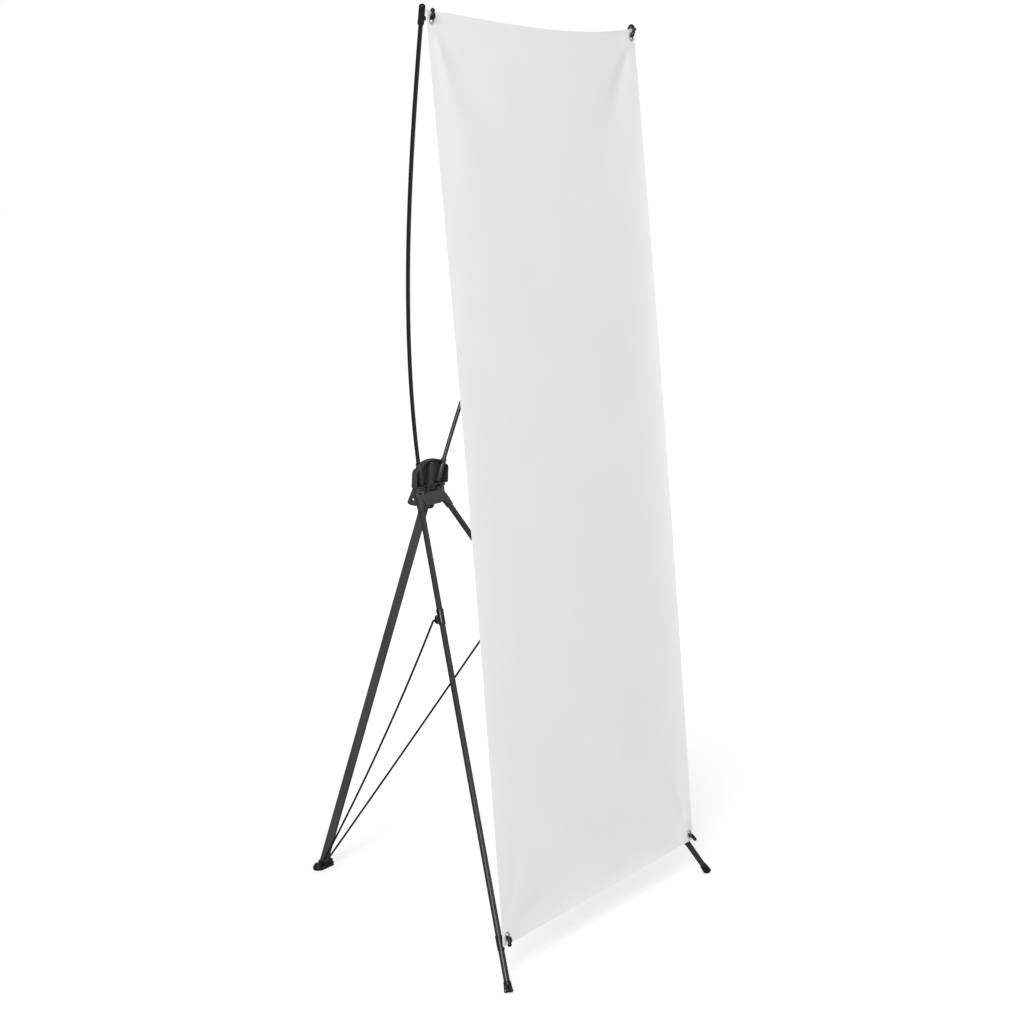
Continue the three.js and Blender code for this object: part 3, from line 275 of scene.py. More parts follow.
def shell(bm, make):
    """Runs make on an empty shape, merges its doubles, faces it outwards and adds it to bm."""
    part = bmesh.new()
    make(part)
    bmesh.ops.remove_doubles(part, verts=part.verts, dist=0.0005)
    bmesh.ops.recalc_face_normals(part, faces=part.faces)
    spare = bpy.data.meshes.new("spare")
    part.to_mesh(spare)
    part.free()
    bm.from_mesh(spare)
    bpy.data.meshes.remove(spare)


def new_verts(made):
    """Vertices among what an extrusion made."""
    return [item for item in made["geom"] if isinstance(item, bmesh.types.BMVert)]


def plate(outline, thickness, place=Matrix(), holes=(), corner=0.0, hollow=None):
    """Flat plate from an outline in X-Y, thick along +Z, with round holes or a hollow from below."""
    def make(bm):
        loop = [bm.verts.new((x, y, 0)) for x, y in outline]
        rims = [bm.edges.new(pair) for pair in zip(loop, loop[1:] + loop[:1])]
        for x, y, radius in holes:
            ring = bmesh.ops.create_circle(bm, segments=24, radius=radius,
                                           matrix=Matrix.Translation((x, y, 0)))["verts"]
            rims += list({edge for vert in ring for edge in vert.link_edges})
        bmesh.ops.triangle_fill(bm, edges=rims, use_beauty=True)
        bmesh.ops.dissolve_limit(bm, angle_limit=0.01, verts=bm.verts, edges=bm.edges)
        grown = bmesh.ops.extrude_face_region(bm, geom=bm.faces[:])
        bmesh.ops.translate(bm, vec=(0, 0, thickness), verts=new_verts(grown))
        if corner:
            rims = [edge for edge in bm.edges if edge.verts[0].co.z != edge.verts[1].co.z
                    and edge.calc_face_angle(0) > 0.3]
            bmesh.ops.bevel(bm, geom=rims, offset=corner, segments=5, profile=0.5, affect="EDGES",
                            material=-1, clamp_overlap=True)
        if hollow:
            wall, left = hollow
            bmesh.ops.recalc_face_normals(bm, faces=bm.faces)
            open_face = [face for face in bm.faces if face.normal.z < -0.99]
            bmesh.ops.inset_region(bm, faces=open_face, thickness=wall, use_even_offset=True)
            grown = bmesh.ops.extrude_face_region(bm, geom=open_face)
            bmesh.ops.delete(bm, geom=open_face, context="FACES_ONLY")
            bmesh.ops.translate(bm, vec=(0, 0, thickness - left), verts=new_verts(grown))
        bmesh.ops.transform(bm, matrix=place, verts=bm.verts)
    return make


def block(low, high, place=Matrix(), corner=0.0):
    """Box between two corners, with all its edges rounded if a radius is given."""
    def make(bm):
        size = Vector(high) - Vector(low)
        middle = (Vector(high) + Vector(low)) / 2
        bmesh.ops.create_cube(bm, size=1, matrix=Matrix.Translation(middle) @ Matrix.Diagonal((*size, 1)))
        if corner:
            bmesh.ops.bevel(bm, geom=bm.edges[:], offset=corner, segments=3, profile=0.5, affect="EDGES",
                            material=-1, clamp_overlap=True)
        bmesh.ops.transform(bm, matrix=place, verts=bm.verts)
    return make


def turned(profile, place=Matrix(), steps=48, looped=False):
    """Turned shape about Z from (radius, height) points; looped joins the last point to the first."""
    def make(bm):
        points = [bm.verts.new((radius, 0, height)) for radius, height in profile]
        pairs = list(zip(points, points[1:] + points[:1] if looped else points[1:]))
        rims = [bm.edges.new(pair) for pair in pairs]
        bmesh.ops.spin(bm, geom=points + rims, cent=(0, 0, 0), axis=(0, 0, 1), angle=math.tau,
                       steps=steps, use_merge=True)
        bmesh.ops.transform(bm, matrix=place, verts=bm.verts)
    return make


def standing_on(point, way):
    """Place whose origin is a point and whose Z runs along a direction."""
    return Matrix.Translation(point) @ Vector((0, 0, 1)).rotation_difference(way).to_matrix().to_4x4()


def mirrored(half):
    """Right half of an outline, going up, and its mirror image."""
    return half + [(-x, y) for x, y in reversed(half)]


def upright(x, y, z):
    """Place that stands an outline up: its Y goes up and its thickness goes back."""
    return Matrix(((1, 0, 0, x), (0, 0, 1, y), (0, 1, 0, z), (0, 0, 0, 1)))


def sideways(x, y, z):
    """Place that stands an outline up sideways: its X goes back, its Y up and its thickness right."""
    return Matrix(((0, 0, 1, x), (1, 0, 0, y), (0, 1, 0, z), (0, 0, 0, 1)))


def arc(radius, first, last, turn_step, middle=(0, 0), rise=None):
    """Points of an arc between two angles in degrees; a rise makes it an ellipse's."""
    turns = [math.radians(turn) for turn in range(first, last, turn_step)]
    return [(middle[0] + radius * math.cos(turn), middle[1] + (rise or radius) * math.sin(turn))
            for turn in turns]


black_nylon = skin("black_nylon", (0.026, 0.026, 0.027), (0.04, 0.04, 0.041), (0.09, 0.09, 0.09),
                   edge_amount=0.5, cloud=30, grain=1400, roughness=(0.3, 0.42), bump=0.35)

block_front, block_back, block_base = 71.376, 83.876, 905.0
# The tray leans forward 3 degrees about the bottom of its back
tip = (Matrix.Translation((0, block_back, block_base)) @ Matrix.Rotation(math.radians(3), 4, "X")
       @ Matrix.Translation((0, -block_back, -block_base)))
root_way = {side: Vector((side * 0.33761, -0.09297, 0.93643)).normalized() for side in (-1, 1)}
pole_mouth = {side: Vector((side * 39.3, 76.276, 930.0)) for side in (-1, 1)}
rod_bore = 4.6

hub = bmesh.new()
tray_half = [(60.7, 905), (60.7, 939.1), (55.8, 944.9), (48.5, 946.2)]
tray_half += arc(46, 20, 90, 10, middle=(0, 944.8), rise=16.8)
tray_wall = 2.4
shell(hub, plate(mirrored(tray_half), block_back - block_front, tip @ upright(0, block_front, 0),
                 corner=3, hollow=(tray_wall, tray_wall)))
# A column down the middle of the tray, with a low rib at each side of it
column_half, rib_way_out, rib_half, rib_deep = 8, 16, 0.7, 2.5
shell(hub, block((-column_half, block_front + 1.4, block_base + 1.2),
                 (column_half, block_back - 0.5, block_base + 51.8), tip, 1.0))
for side in (-1, 1):
    shell(hub, block((side * rib_way_out - rib_half, block_back - 1.6 - rib_deep, block_base + 1.2),
                     (side * rib_way_out + rib_half, block_back - 1.2, block_base + 51.3), tip, 0.35))
# Ear outline: distance back from the tray's front, and height
ear = [(8.5, 40.2), (11.616, 40.5), (13.728, 35.64), (19.8, 22.518), (26.4, 7.898), (25.212, 3.483),
       (17.424, 1.013), (4, 0), (4, 15), (8.5, 21)]
ear_way_out, ear_thick, ear_base = 55.0, 3, 866.5
lug_way_out, lug_half = 45, 7.5
for side in (-1, 1):
    sleeve = standing_on(pole_mouth[side], root_way[side])
    shell(hub, turned([(0, -23), (4.9, -23), (5.2, -22.4), (5.9, 4), (6.1, 28.2), (5.7, 29), (4.9, 29),
                       (rod_bore, 28.6), (rod_bore, -22.6), (0, -22.6)], sleeve))
    ear_place = sideways(side * ear_way_out - ear_thick / 2, block_front, ear_base)
    shell(hub, plate(ear, ear_thick, ear_place, holes=[(12.1, 13.8, 2.5)], corner=3))
    shell(hub, block((side * lug_way_out - lug_half, 73.5, 897.4),
                     (side * lug_way_out + lug_half, 81.5, 906), corner=0.6))
# Tongue that reaches down into the yoke, and the boss in front of it that takes the screw
shell(hub, block((-20, 79.876, 887), (20, block_back, 906.2), corner=0.5))
shell(hub, block((-13, 74.8, 891), (13, 80.4, 903.2), corner=1.2))
finished(hub, "hub_block_moulding", black_nylon, "hub", "hub_block", 0.45)


# Leg yoke: charcoal moulding screwed under the hub block. A shaped front plate and a body behind
# it carry a roofed fork for each front leg, and two cheeks at the back for the rear leg.
charcoal_nylon = skin("charcoal_nylon", (0.044, 0.044, 0.0455), (0.06, 0.06, 0.0615), (0.12, 0.12, 0.12),
                      edge_amount=0.4, cloud=35, grain=1300, roughness=(0.38, 0.5), bump=0.35)
hinge = {side: Vector((side * 40.5, 77.876, 884.5)) for side in (-1, 1)}
foot_point = {side: Vector((side * 424.0, -385.272, 0.0)) for side in (-1, 1)}
leg_up = {side: (hinge[side] - foot_point[side]).normalized() for side in (-1, 1)}
# Across the leg, along its hinge pin
pin_way = {side: Vector((leg_up[side].y, -leg_up[side].x, 0)).normalized() for side in (-1, 1)}

yoke = bmesh.new()
plate_half = [(26, 863.8), (40, 869.0), (48, 877.9), (41, 886.6), (25, 892.4)]
shell(yoke, plate(mirrored(plate_half), 3.4, upright(0, 65.876, 0), corner=3))
shell(yoke, block((-28, 69.0, 864), (28, 84.376, 892), corner=0.8))
# Neck between the body and the hub block
shell(yoke, block((-37, 80.6, 886.5), (37, 84.2, 904.7), corner=0.5))
cheek = [(0, 12.54), (0.52, 4.56), (8.06, 0), (17.94, 1.425), (26, 10.545), (26, 20.52), (17.94, 28.5),
         (0, 28.5)]
cheek_thick, ear_radius, ear_top = 3.5, 8, 12.5
for left_face in (-9.8, 6.3):
    shell(yoke, plate(cheek, cheek_thick, sideways(left_face, 73.376, 851.5), corner=3))
fork_ear = arc(ear_radius, 180, 361, 12) + [(ear_radius, ear_top), (-ear_radius, ear_top)]
for side in (-1, 1):
    across = pin_way[side]
    fork_place = Matrix.Translation(hinge[side]) @ Matrix((
        across, Vector((0, 0, 1)).cross(across), (0, 0, 1))).transposed().to_4x4()
    for left_face in (-8.3, 4.8):
        shell(yoke, plate(fork_ear, cheek_thick, fork_place @ sideways(left_face, 0, 0)))
    shell(yoke, block((-8.3, -ear_radius, 8.6), (8.3, ear_radius, ear_top), fork_place, 1.4))
finished(yoke, "leg_yoke_moulding", charcoal_nylon, "hub", "leg_yoke", 0.45)


# Screw and hinge pins: blackened steel. The screw holds the block to the yoke; each pin is a
# plain rivet with two low domed heads, and carries a leg.
black_steel = skin("black_steel", (0.02, 0.02, 0.02), (0.035, 0.035, 0.035), (0.2, 0.2, 0.2),
                   edge_amount=0.5, cloud=150, grain=2500, roughness=(0.28, 0.4), bump=0.2, metallic=0.6)
screw = bmesh.new()
screw_place = Matrix.Translation((0, 73.076, 897)) @ Matrix.Rotation(math.radians(90), 4, "X")
shell(screw, turned([(0, -10), (2, -10), (2, 0), (4, 0), (4, 0.9), (3.7, 1.5), (3.0, 1.95), (1.9, 2.2),
                     (0, 2.2)], screw_place))
finished(screw, "hub_screw_head", black_steel, "hub", "hub_screw", 0.12)


def rivet(half, shank, head, tall):
    """Profile of a pin with a low domed head at each end."""
    dome = [(head, 0.0), (head, tall * 0.45), (head * 0.86, tall * 0.8), (head * 0.5, tall), (0, tall)]
    upper = [(radius, half + height) for radius, height in dome]
    lower = [(radius, -height) for radius, height in reversed(upper)]
    return lower + [(shank, -half), (shank, half)] + upper


sides = ((-1, "left"), (1, "right"))
for side, word in sides:
    pin = bmesh.new()
    profile = rivet(half=8.6, shank=2.25, head=3.4, tall=1.2)
    shell(pin, turned(profile, standing_on(hinge[side], pin_way[side]), 32))
    finished(pin, f"front_leg_rivet_{word}", black_steel, "hub", f"front_leg_pin_{word}")
rear_pivot, rightwards = Vector((0, 88.776, 868.0)), Vector((1, 0, 0))
pin = bmesh.new()
profile = rivet(half=10.1, shank=2.5, head=3.6, tall=1.2)
shell(pin, turned(profile, standing_on(rear_pivot, rightwards), 32))
finished(pin, "rear_leg_rivet", black_steel, "hub", "rear_leg_pin")


# Front legs: a black nylon socket that turns on the pin, and a satin-black painted steel tube,
# 12.4 mm across, pushed 20 mm into the socket and standing in a rubber cap.
black_paint = skin("black_paint", (0.02, 0.02, 0.0205), (0.03, 0.03, 0.0305), (0.05, 0.05, 0.05),
                   edge_amount=0.2, cloud=60, grain=2200, roughness=(0.2, 0.28), bump=0.12, along="grain",
                   squeeze=(1, 1, 0.06))


def bar(path, radius, steps):
    """Round bar drawn along a path; its grain attribute runs round and along it, in metres."""
    def make(bm):
        way = (path[1] - path[0]).normalized()
        grain = bm.verts.layers.float_vector.new("grain")
        ring = bmesh.ops.create_circle(bm, segments=steps, radius=radius,
                                       matrix=standing_on(path[0], way))["verts"]
        for i, vert in enumerate(ring):
            turn = math.tau * i / steps
            vert[grain] = (math.cos(turn) * radius / metre, math.sin(turn) * radius / metre, 0)
        rims = list({edge for vert in ring for edge in vert.link_edges})
        bmesh.ops.contextual_create(bm, geom=rims)
        run = 0.0
        for i in range(1, len(path)):
            ahead_way = (path[min(i + 1, len(path) - 1)] - path[i - 1]).normalized()
            step = (Matrix.Translation(path[i]) @ way.rotation_difference(ahead_way).to_matrix().to_4x4()
                    @ Matrix.Translation(-path[i - 1]))
            way = ahead_way
            run += (path[i] - path[i - 1]).length / metre
            grown = bmesh.ops.extrude_edge_only(bm, edges=rims)
            ring = new_verts(grown)
            rims = [item for item in grown["geom"]
                    if isinstance(item, bmesh.types.BMEdge) and set(item.verts) <= set(ring)]
            bmesh.ops.transform(bm, matrix=step, verts=ring)
            for vert in ring:
                vert[grain] = (vert[grain][0], vert[grain][1], run)
        bmesh.ops.contextual_create(bm, geom=rims)
    return make


leg_place = {}
leg_radius, leg_bore = 6.2, 6.4
leg_start, leg_end_short_of_floor = 17.3, 8
for side, word in sides:
    up = leg_up[side]
    # Leg frame: X along the hinge pin, Z up the leg, origin on the hinge
    leg_place[side] = Matrix.Translation(hinge[side]) @ Matrix((
        pin_way[side], up.cross(pin_way[side]), up)).transposed().to_4x4()
    socket = bmesh.new()
    shell(socket, turned([(0, -8.3), (8.1, -8.3), (8.9, -9.1), (8.9, -22), (8.3, -30), (8.1, -36.3),
                          (7.6, -37), (6.45, -37), (6.45, -17), (0, -17)], leg_place[side]))
    along_pin = leg_place[side] @ Matrix.Rotation(math.radians(90), 4, "Y")
    shell(socket, turned([(0, -4.5), (7.4, -4.5), (8, -3.9), (8, 3.9), (7.4, 4.5), (0, 4.5)], along_pin))
    shell(socket, block((-4.5, -6, -14), (4.5, 6, 0), leg_place[side], 0.5))
    finished(socket, f"leg_socket_moulding_{word}", black_nylon, f"front_leg_{word}",
             f"leg_socket_{word}", 0.25)
    top, foot = hinge[side] - up * leg_start, foot_point[side] + up * leg_end_short_of_floor
    tube = bmesh.new()
    bar([top.lerp(foot, i / 6) for i in range(7)], leg_radius, 40)(tube)
    bmesh.ops.recalc_face_normals(tube, faces=tube.faces)
    finished(tube, f"front_leg_pipe_{word}", black_paint, f"front_leg_{word}",
             f"front_leg_tube_{word}")


# Sliding collars: black nylon sleeves that run up the front legs when the stand folds, each with
# a rolled upper rim and a lug at the side for the strut. They and the clips are smoother and
# darker than the hub.
clip_nylon = skin("clip_nylon", (0.007, 0.007, 0.0073), (0.013, 0.013, 0.0133), (0.05, 0.05, 0.05),
                  edge_amount=0.4, cloud=40, grain=1500, roughness=(0.2, 0.3), bump=0.25)
rear_ground = Vector((0, 383.076, 0.0))
rear_down = (rear_ground - rear_pivot).normalized()
lug_centre, lug_across, lug_inward = {}, {}, {}
lug_down, lug_reach, lug_thick = 283, 8.5, 4.2
lug_outline = [(0, -9), (6.2, -9)] + arc(4, -45, 46, 9, middle=(lug_reach, 0)) + [(6.2, 9), (0, 9)]
for side, word in sides:
    down = -leg_up[side]
    across = down.cross(rear_down).normalized() * -side
    inward = across.cross(down).normalized() * -side
    lug_centre[side], lug_across[side], lug_inward[side] = hinge[side] + down * lug_down, across, inward
    collar = bmesh.new()
    shell(collar, turned([(leg_bore, -294.8), (6.8, -294.8), (7.2, -294.5), (7.4, -293.9), (7.4, -265.6),
                          (8, -264.6), (8, -262), (7.7, -261.3), (7.2, -261), (leg_bore, -261)],
                         leg_place[side], looped=True))
    # Lug frame: X inwards from the leg, Y up it, Z towards the strut
    lug_place = Matrix.Translation(lug_centre[side]) @ Matrix((
        inward, -down, -across)).transposed().to_4x4() @ Matrix.Translation((0, 0, leg_bore))
    shell(collar, plate(lug_outline, lug_thick, lug_place, holes=[(lug_reach, 0, 2.4)]))
    finished(collar, f"sliding_collar_{word}", clip_nylon, f"collar_{word}",
             f"leg_collar_{word}", 0.35)


# Struts: 4.5 mm black wire, bowed a little, with a short bend at each end that sits in the
# collar's lug and in the rear leg's lower end.
def rounded_path(points, radius, steps=6):
    """Points of a path with its corners rounded."""
    path = [points[0]]
    for before, corner, after in zip(points, points[1:], points[2:]):
        enter = corner + (before - corner).normalized() * min(radius, (before - corner).length / 2)
        leave = corner + (after - corner).normalized() * min(radius, (after - corner).length / 2)
        for i in range(steps + 1):
            share = i / steps
            path.append(enter.lerp(corner, share).lerp(corner.lerp(leave, share), share))
    return path + [points[-1]]


def bezier(start, pull_start, pull_end, end, steps):
    """Points of a cubic curve, without its first."""
    points = []
    for i in range(1, steps + 1):
        share = i / steps
        first = start.lerp(pull_start, share)
        second = pull_start.lerp(pull_end, share)
        third = pull_end.lerp(end, share)
        points.append(first.lerp(second, share).lerp(second.lerp(third, share), share))
    return points


black_wire = skin("black_wire", (0.008, 0.008, 0.0082), (0.015, 0.015, 0.015), (0.04, 0.04, 0.04),
                  edge_amount=0.2, cloud=12, grain=900, roughness=(0.26, 0.4), bump=0.2, metallic=0.5,
                  along="grain", squeeze=(1, 1, 0.1))
wire_radius, bow, wire_way_out, wire_end_way_out = 2.25, 19.6, 14.5, 10.8
for side, word in sides:
    across = lug_across[side]
    low = Vector((side * 9.2, 369.876, 22.0))
    high = lug_centre[side] + lug_inward[side] * lug_reach - across * wire_way_out
    pull = (low + high) / 2 + across * bow
    low_end = Vector((side * 4.3, low.y, low.z))
    high_end = high + across * (wire_way_out - wire_end_way_out)
    run = bezier(low, low.lerp(pull, 2 / 3), high.lerp(pull, 2 / 3), high, 36)
    path = rounded_path([low_end, low, run[0]], 2.8) + run[1:-2]
    path += rounded_path([run[-2], high, high_end], 2.6)[1:]
    strut = bmesh.new()
    bar(path, wire_radius, 18)(strut)
    bmesh.ops.recalc_face_normals(strut, faces=strut.faces)
    finished(strut, f"strut_wire_{word}", black_wire, f"strut_{word}", f"strut_{word}")


# Rear leg: a nylon plug that turns between the yoke's cheeks, and a flat-oval steel tube,
# 21 by 11 mm, painted black.
rear_place = Matrix.Translation(rear_pivot) @ Matrix((
    rightwards, (-rear_down).cross(rightwards), -rear_down)).transposed().to_4x4()
oval_deep, oval_wide, oval_wall = 20.8, 11, 1.2
plug = bmesh.new()
shell(plug, turned([(0, -6), (8.4, -6), (9, -5.4), (9, 5.4), (8.4, 6), (0, 6)],
                   rear_place @ Matrix.Rotation(math.radians(90), 4, "Y")))


def oval_ring(bm, depth, width, height):
    """Flat-oval ring at a height, long along Y: a circle whose halves are moved apart."""
    ring = bmesh.ops.create_circle(bm, segments=28, radius=width / 2, matrix=Matrix.Translation(
        (0, 0, height)) @ Matrix.Rotation(math.pi / 28, 4, "Z"))["verts"]
    for half in (-1, 1):
        bmesh.ops.translate(bm, vec=(0, half * (depth - width) / 2, 0),
                            verts=[vert for vert in ring if vert.co.y * half > 0])
    return list({edge for vert in ring for edge in vert.link_edges})


def oval_bar(depth, width, bottom, top, wall=0.0, place=Matrix()):
    """Flat-oval bar or pipe between two heights."""
    def make(bm):
        if wall:
            rims = oval_ring(bm, depth, width, bottom)
            rims += oval_ring(bm, depth - 2 * wall, width - 2 * wall, bottom)
            bmesh.ops.bridge_loops(bm, edges=rims)
        else:
            bmesh.ops.contextual_create(bm, geom=oval_ring(bm, depth, width, bottom))
        grown = bmesh.ops.extrude_face_region(bm, geom=bm.faces[:])
        bmesh.ops.translate(bm, vec=(0, 0, top - bottom), verts=new_verts(grown))
        bmesh.ops.transform(bm, matrix=place, verts=bm.verts)
    return make


shell(plug, oval_bar(oval_deep, oval_wide, -12.0, -4.5, place=rear_place))
shell(plug, oval_bar(oval_deep - 3, oval_wide - 3, -42.3, -11.7, place=rear_place))
finished(plug, "rear_leg_plug_moulding", black_nylon, "rear_leg", "rear_leg_plug", 0.5)
tube_end_height = 7
rear_paint = skin("rear_paint", (0.05, 0.05, 0.0505), (0.064, 0.064, 0.0645), (0.1, 0.1, 0.1),
                  edge_amount=0.3, cloud=14, grain=650, roughness=(0.34, 0.46), bump=0.3, metallic=0.3,
                  squeeze=(1, 1, 0.25))
rear_tube = bmesh.new()
tube_end = (tube_end_height - rear_pivot.z) / -rear_down.z
shell(rear_tube, oval_bar(oval_deep, oval_wide, tube_end, -12.3, oval_wall, rear_place))
finished(rear_tube, "rear_leg_pipe", rear_paint, "rear_leg", "rear_leg_tube", 0.2)


# Rear foot: moulded black rubber pad with a raised, dented lump at each end and an oval boss that
# grips the lower end of the rear tube.
black_rubber = skin("black_rubber", (0.006, 0.006, 0.006), (0.011, 0.011, 0.0109), (0.04, 0.04, 0.039),
                    edge_amount=0.5, cloud=60, grain=1100, roughness=(0.22, 0.34), bump=0.3)
rear_foot = bmesh.new()


def pad(length, width, height, middle_x=0.0, dent=0.0):
    """Stadium pad on the floor, long along X, with its upper edge rounded and its top dented."""
    def make(bm):
        ring = bmesh.ops.create_circle(bm, segments=40, radius=width / 2,
                                       matrix=Matrix.Rotation(math.pi / 40, 4, "Z"))["verts"]
        for half in (-1, 1):
            bmesh.ops.translate(bm, vec=(half * (length - width) / 2, 0, 0),
                                verts=[vert for vert in ring if vert.co.x * half > 0])
        rims = list({edge for vert in ring for edge in vert.link_edges})
        base = bmesh.ops.contextual_create(bm, geom=rims)
        upper = new_verts(bmesh.ops.extrude_face_region(bm, geom=base["faces"]))
        bmesh.ops.translate(bm, vec=(0, 0, height), verts=upper)
        rims = [edge for edge in bm.edges if all(vert in upper for vert in edge.verts)]
        bmesh.ops.bevel(bm, geom=rims, offset=2.5, segments=5, profile=0.5, affect="EDGES", material=-1)
        if dent:
            top = [face for face in bm.faces if face.calc_center_median().z > height - 0.01]
            bmesh.ops.inset_region(bm, faces=top, thickness=1.0, use_even_offset=True)
            bmesh.ops.inset_region(bm, faces=top, thickness=1.2, depth=-dent, use_even_offset=True)
        bmesh.ops.translate(bm, vec=(middle_x, rear_ground.y - 3.5, 0), verts=bm.verts)
    return make


shell(rear_foot, pad(62, 25, 9))
for end, height in ((-1, 14), (1, 15)):
    shell(rear_foot, pad(19.5, 19, height, end * 19.5, dent=3.5))


def boss(bm):
    """Oval boss along the leg, cut level at its bottom and its top."""
    bottom, top, reach = 4, 16, 16
    low_cut, high_cut = ((height - rear_pivot.z) / -rear_down.z for height in (bottom, top))
    oval_bar(26, 15, low_cut - reach, high_cut + reach, place=rear_place)(bm)
    for height, side in ((top, 1), (bottom, -1)):
        bmesh.ops.bisect_plane(bm, geom=bm.verts[:] + bm.edges[:] + bm.faces[:], plane_co=(0, 0, height),
                               plane_no=(0, 0, side), clear_outer=True)
        bmesh.ops.holes_fill(bm, edges=[edge for edge in bm.edges if edge.is_boundary])


shell(rear_foot, boss)
finished(rear_foot, "rear_foot_pad", black_rubber, "rear_leg", "rear_foot", 0.5)


# Banner's place: the sheet stands on a lower edge just above the floor and leans back 5 degrees.
# Its creases run out of the four eyelets, so the eyelets' places are worked out first.
sheet_wide, sheet_tall, sheet_thick = 800.0, 1800.0, 0.6
lean = math.radians(5.245)
sheet_place = Matrix.Translation((0, -357.124, 79.7)) @ Matrix.Rotation(-lean, 4, "X")
corners = [(-1, 1), (1, 1), (-1, -1), (1, -1)]
eyelet_in_x, eyelet_in_z = 16.0, 16.7
eyelet_flat = {(side, up): Vector((side * (sheet_wide / 2 - eyelet_in_x), 0,
                                   sheet_tall - eyelet_in_z if up > 0 else eyelet_in_z))
               for side, up in corners}
# In mm: how far the left edge turns back, how far the sheet slants back towards the right, how far
# the right edge turns forward, and how wide a turned edge is
left_turn, slant, right_turn, turn_width = 3.4, 16, 12.6, 42
# How far the lower edge turns forward, how tall the turn is, and how far up the hollow above fades
hem_turn, hem_tall, hem_fade = 6, 30, 260
# Each crease: its corner, its way (0 along the side, 1 along the top or bottom) and its spread as
# shares of a right angle, and its height and length in mm
creases = [(-1, 1, 0.2, 0.12, 2.2, 120), (-1, 1, 0.52, 0.12, -1.2, 132), (1, 1, 0.34, 0.15, -2.8, 120),
           (1, -1, 0.2, 0.1, -1.6, 72), (-1, -1, 0.83, 0.1, -0.9, 120), (-1, -1, 0.24, 0.1, -0.6, 84)]
flat_round_eyelet, fade_round_eyelet = 12, 48


def folds(x, z):
    """How far forward of the bowed sheet its turned edges and corner creases stand, in mm."""
    from_left, from_right = sheet_wide / 2 + x, sheet_wide / 2 - x
    stretch = max(0.0, math.sin(math.pi * z / sheet_tall)) ** 0.6
    forward = stretch * (left_turn * (1 - math.exp(-from_left / turn_width))
                         - slant * from_left / sheet_wide
                         + right_turn * math.exp(-from_right / turn_width))
    forward -= (hem_turn * (1 - math.exp(-z / hem_tall)) * math.exp(-z / hem_fade)
                * from_left * from_right * 4 / sheet_wide ** 2)
    for side, up, way, spread, height, length in creases:
        eyelet = eyelet_flat[side, up]
        inward, along = (eyelet.x - x) * side, (eyelet.z - z) * up
        away = math.hypot(inward, along) / length
        turn = math.atan2(inward, along) / (math.pi / 2) - way
        forward += height * math.exp(-(turn / spread) ** 2) * away * math.exp(1 - away)
    for eyelet in eyelet_flat.values():
        away = math.hypot(eyelet.x - x, eyelet.z - z)
        share = min(1.0, max(0.0, (away - flat_round_eyelet) / fade_round_eyelet))
        forward *= share * share * (3 - 2 * share)
    return forward


# The upper edge's sag begins at a share of the sheet's height and is deepest right of the middle
top_sag, sag_start, sag_to_right = 17, 0.72, 0.46
sheet_bow = 6


def on_sheet(x, z):
    """Place on the middle of the stretched sheet of a point of the flat one."""
    across, rise_share = x / (sheet_wide / 2), z / sheet_tall
    top_share = max(0.0, (rise_share - sag_start) / (1 - sag_start))
    sag = top_sag * (1 - across ** 2) * (1 + sag_to_right * across) * top_share ** 2
    bowed = -sheet_bow * math.sin(math.pi * rise_share)
    return sheet_place @ Vector((x, bowed - folds(x, z), z - sag))


eyelet_at = {key: on_sheet(flat.x, flat.z) for key, flat in eyelet_flat.items()}


# Lower clips: black nylon sleeves fixed on the front legs, with a lip, a ring groove and a
# ball-ended hook that holds the sheet's lower eyelet down.
def hook(root, stem, forward, end):
    """Bent peg from its root through the eyelet, with a thinner neck and a ball end."""
    peg_radius, neck_radius, ball_radius = 4.1, 3.1, 4.4
    knee, elbow = stem + Vector((0, 8, 0)), stem + forward
    shoulder = elbow.lerp(end, 0.5)

    def make(bm):
        bar(rounded_path([root, knee, elbow, shoulder], 5.0, 8), peg_radius, 28)(bm)
        bar([elbow.lerp(end, 0.35), end], neck_radius, 24)(bm)
        for point, radius in ((shoulder, peg_radius), (end, ball_radius)):
            bmesh.ops.create_uvsphere(bm, u_segments=32, v_segments=20, radius=radius,
                                      matrix=standing_on(point, (end - elbow).normalized()))
    return make


clip_long, clip_above_hook, hook_below_eyelet = 28, 3.9, 6.3
hook_off_middle = Vector((0, 0, 2.3))
for side, word in sides:
    eyelet = eyelet_at[side, -1]
    down = -leg_up[side]
    along = (hinge[side].z - eyelet.z + hook_below_eyelet) / -down.z
    high = clip_above_hook - along
    low = high - clip_long
    clip = bmesh.new()
    shell(clip, turned([(leg_bore, low), (7.0, low), (7.3, low + 0.4), (7.3, low + 4.6),
                        (6.7, low + 5.1), (6.7, low + 6.5), (7.3, low + 7.0), (7.3, high - 3.2),
                        (8.0, high - 2.5), (8.0, high - 0.5), (7.5, high), (leg_bore, high)],
                       leg_place[side], looped=True))
    shell(clip, hook(hinge[side] + down * along, eyelet - hook_off_middle, Vector((0, -7.5, 0)),
                     eyelet + Vector((side * 7.9, -11.1, -12.3))))
    finished(clip, f"lower_clip_moulding_{word}", clip_nylon, f"front_leg_{word}",
             f"lower_clip_{word}")


# Foot caps: black rubber, ten flutes round a flared end. The end is square to the leg, so the cap
# stands on its inner rim, which is pressed flat where it meets the floor.
flutes, flute_top, flute_fade, flute_depth = 10, 19.5, 5, 0.1
cap_outside_from = 7.2


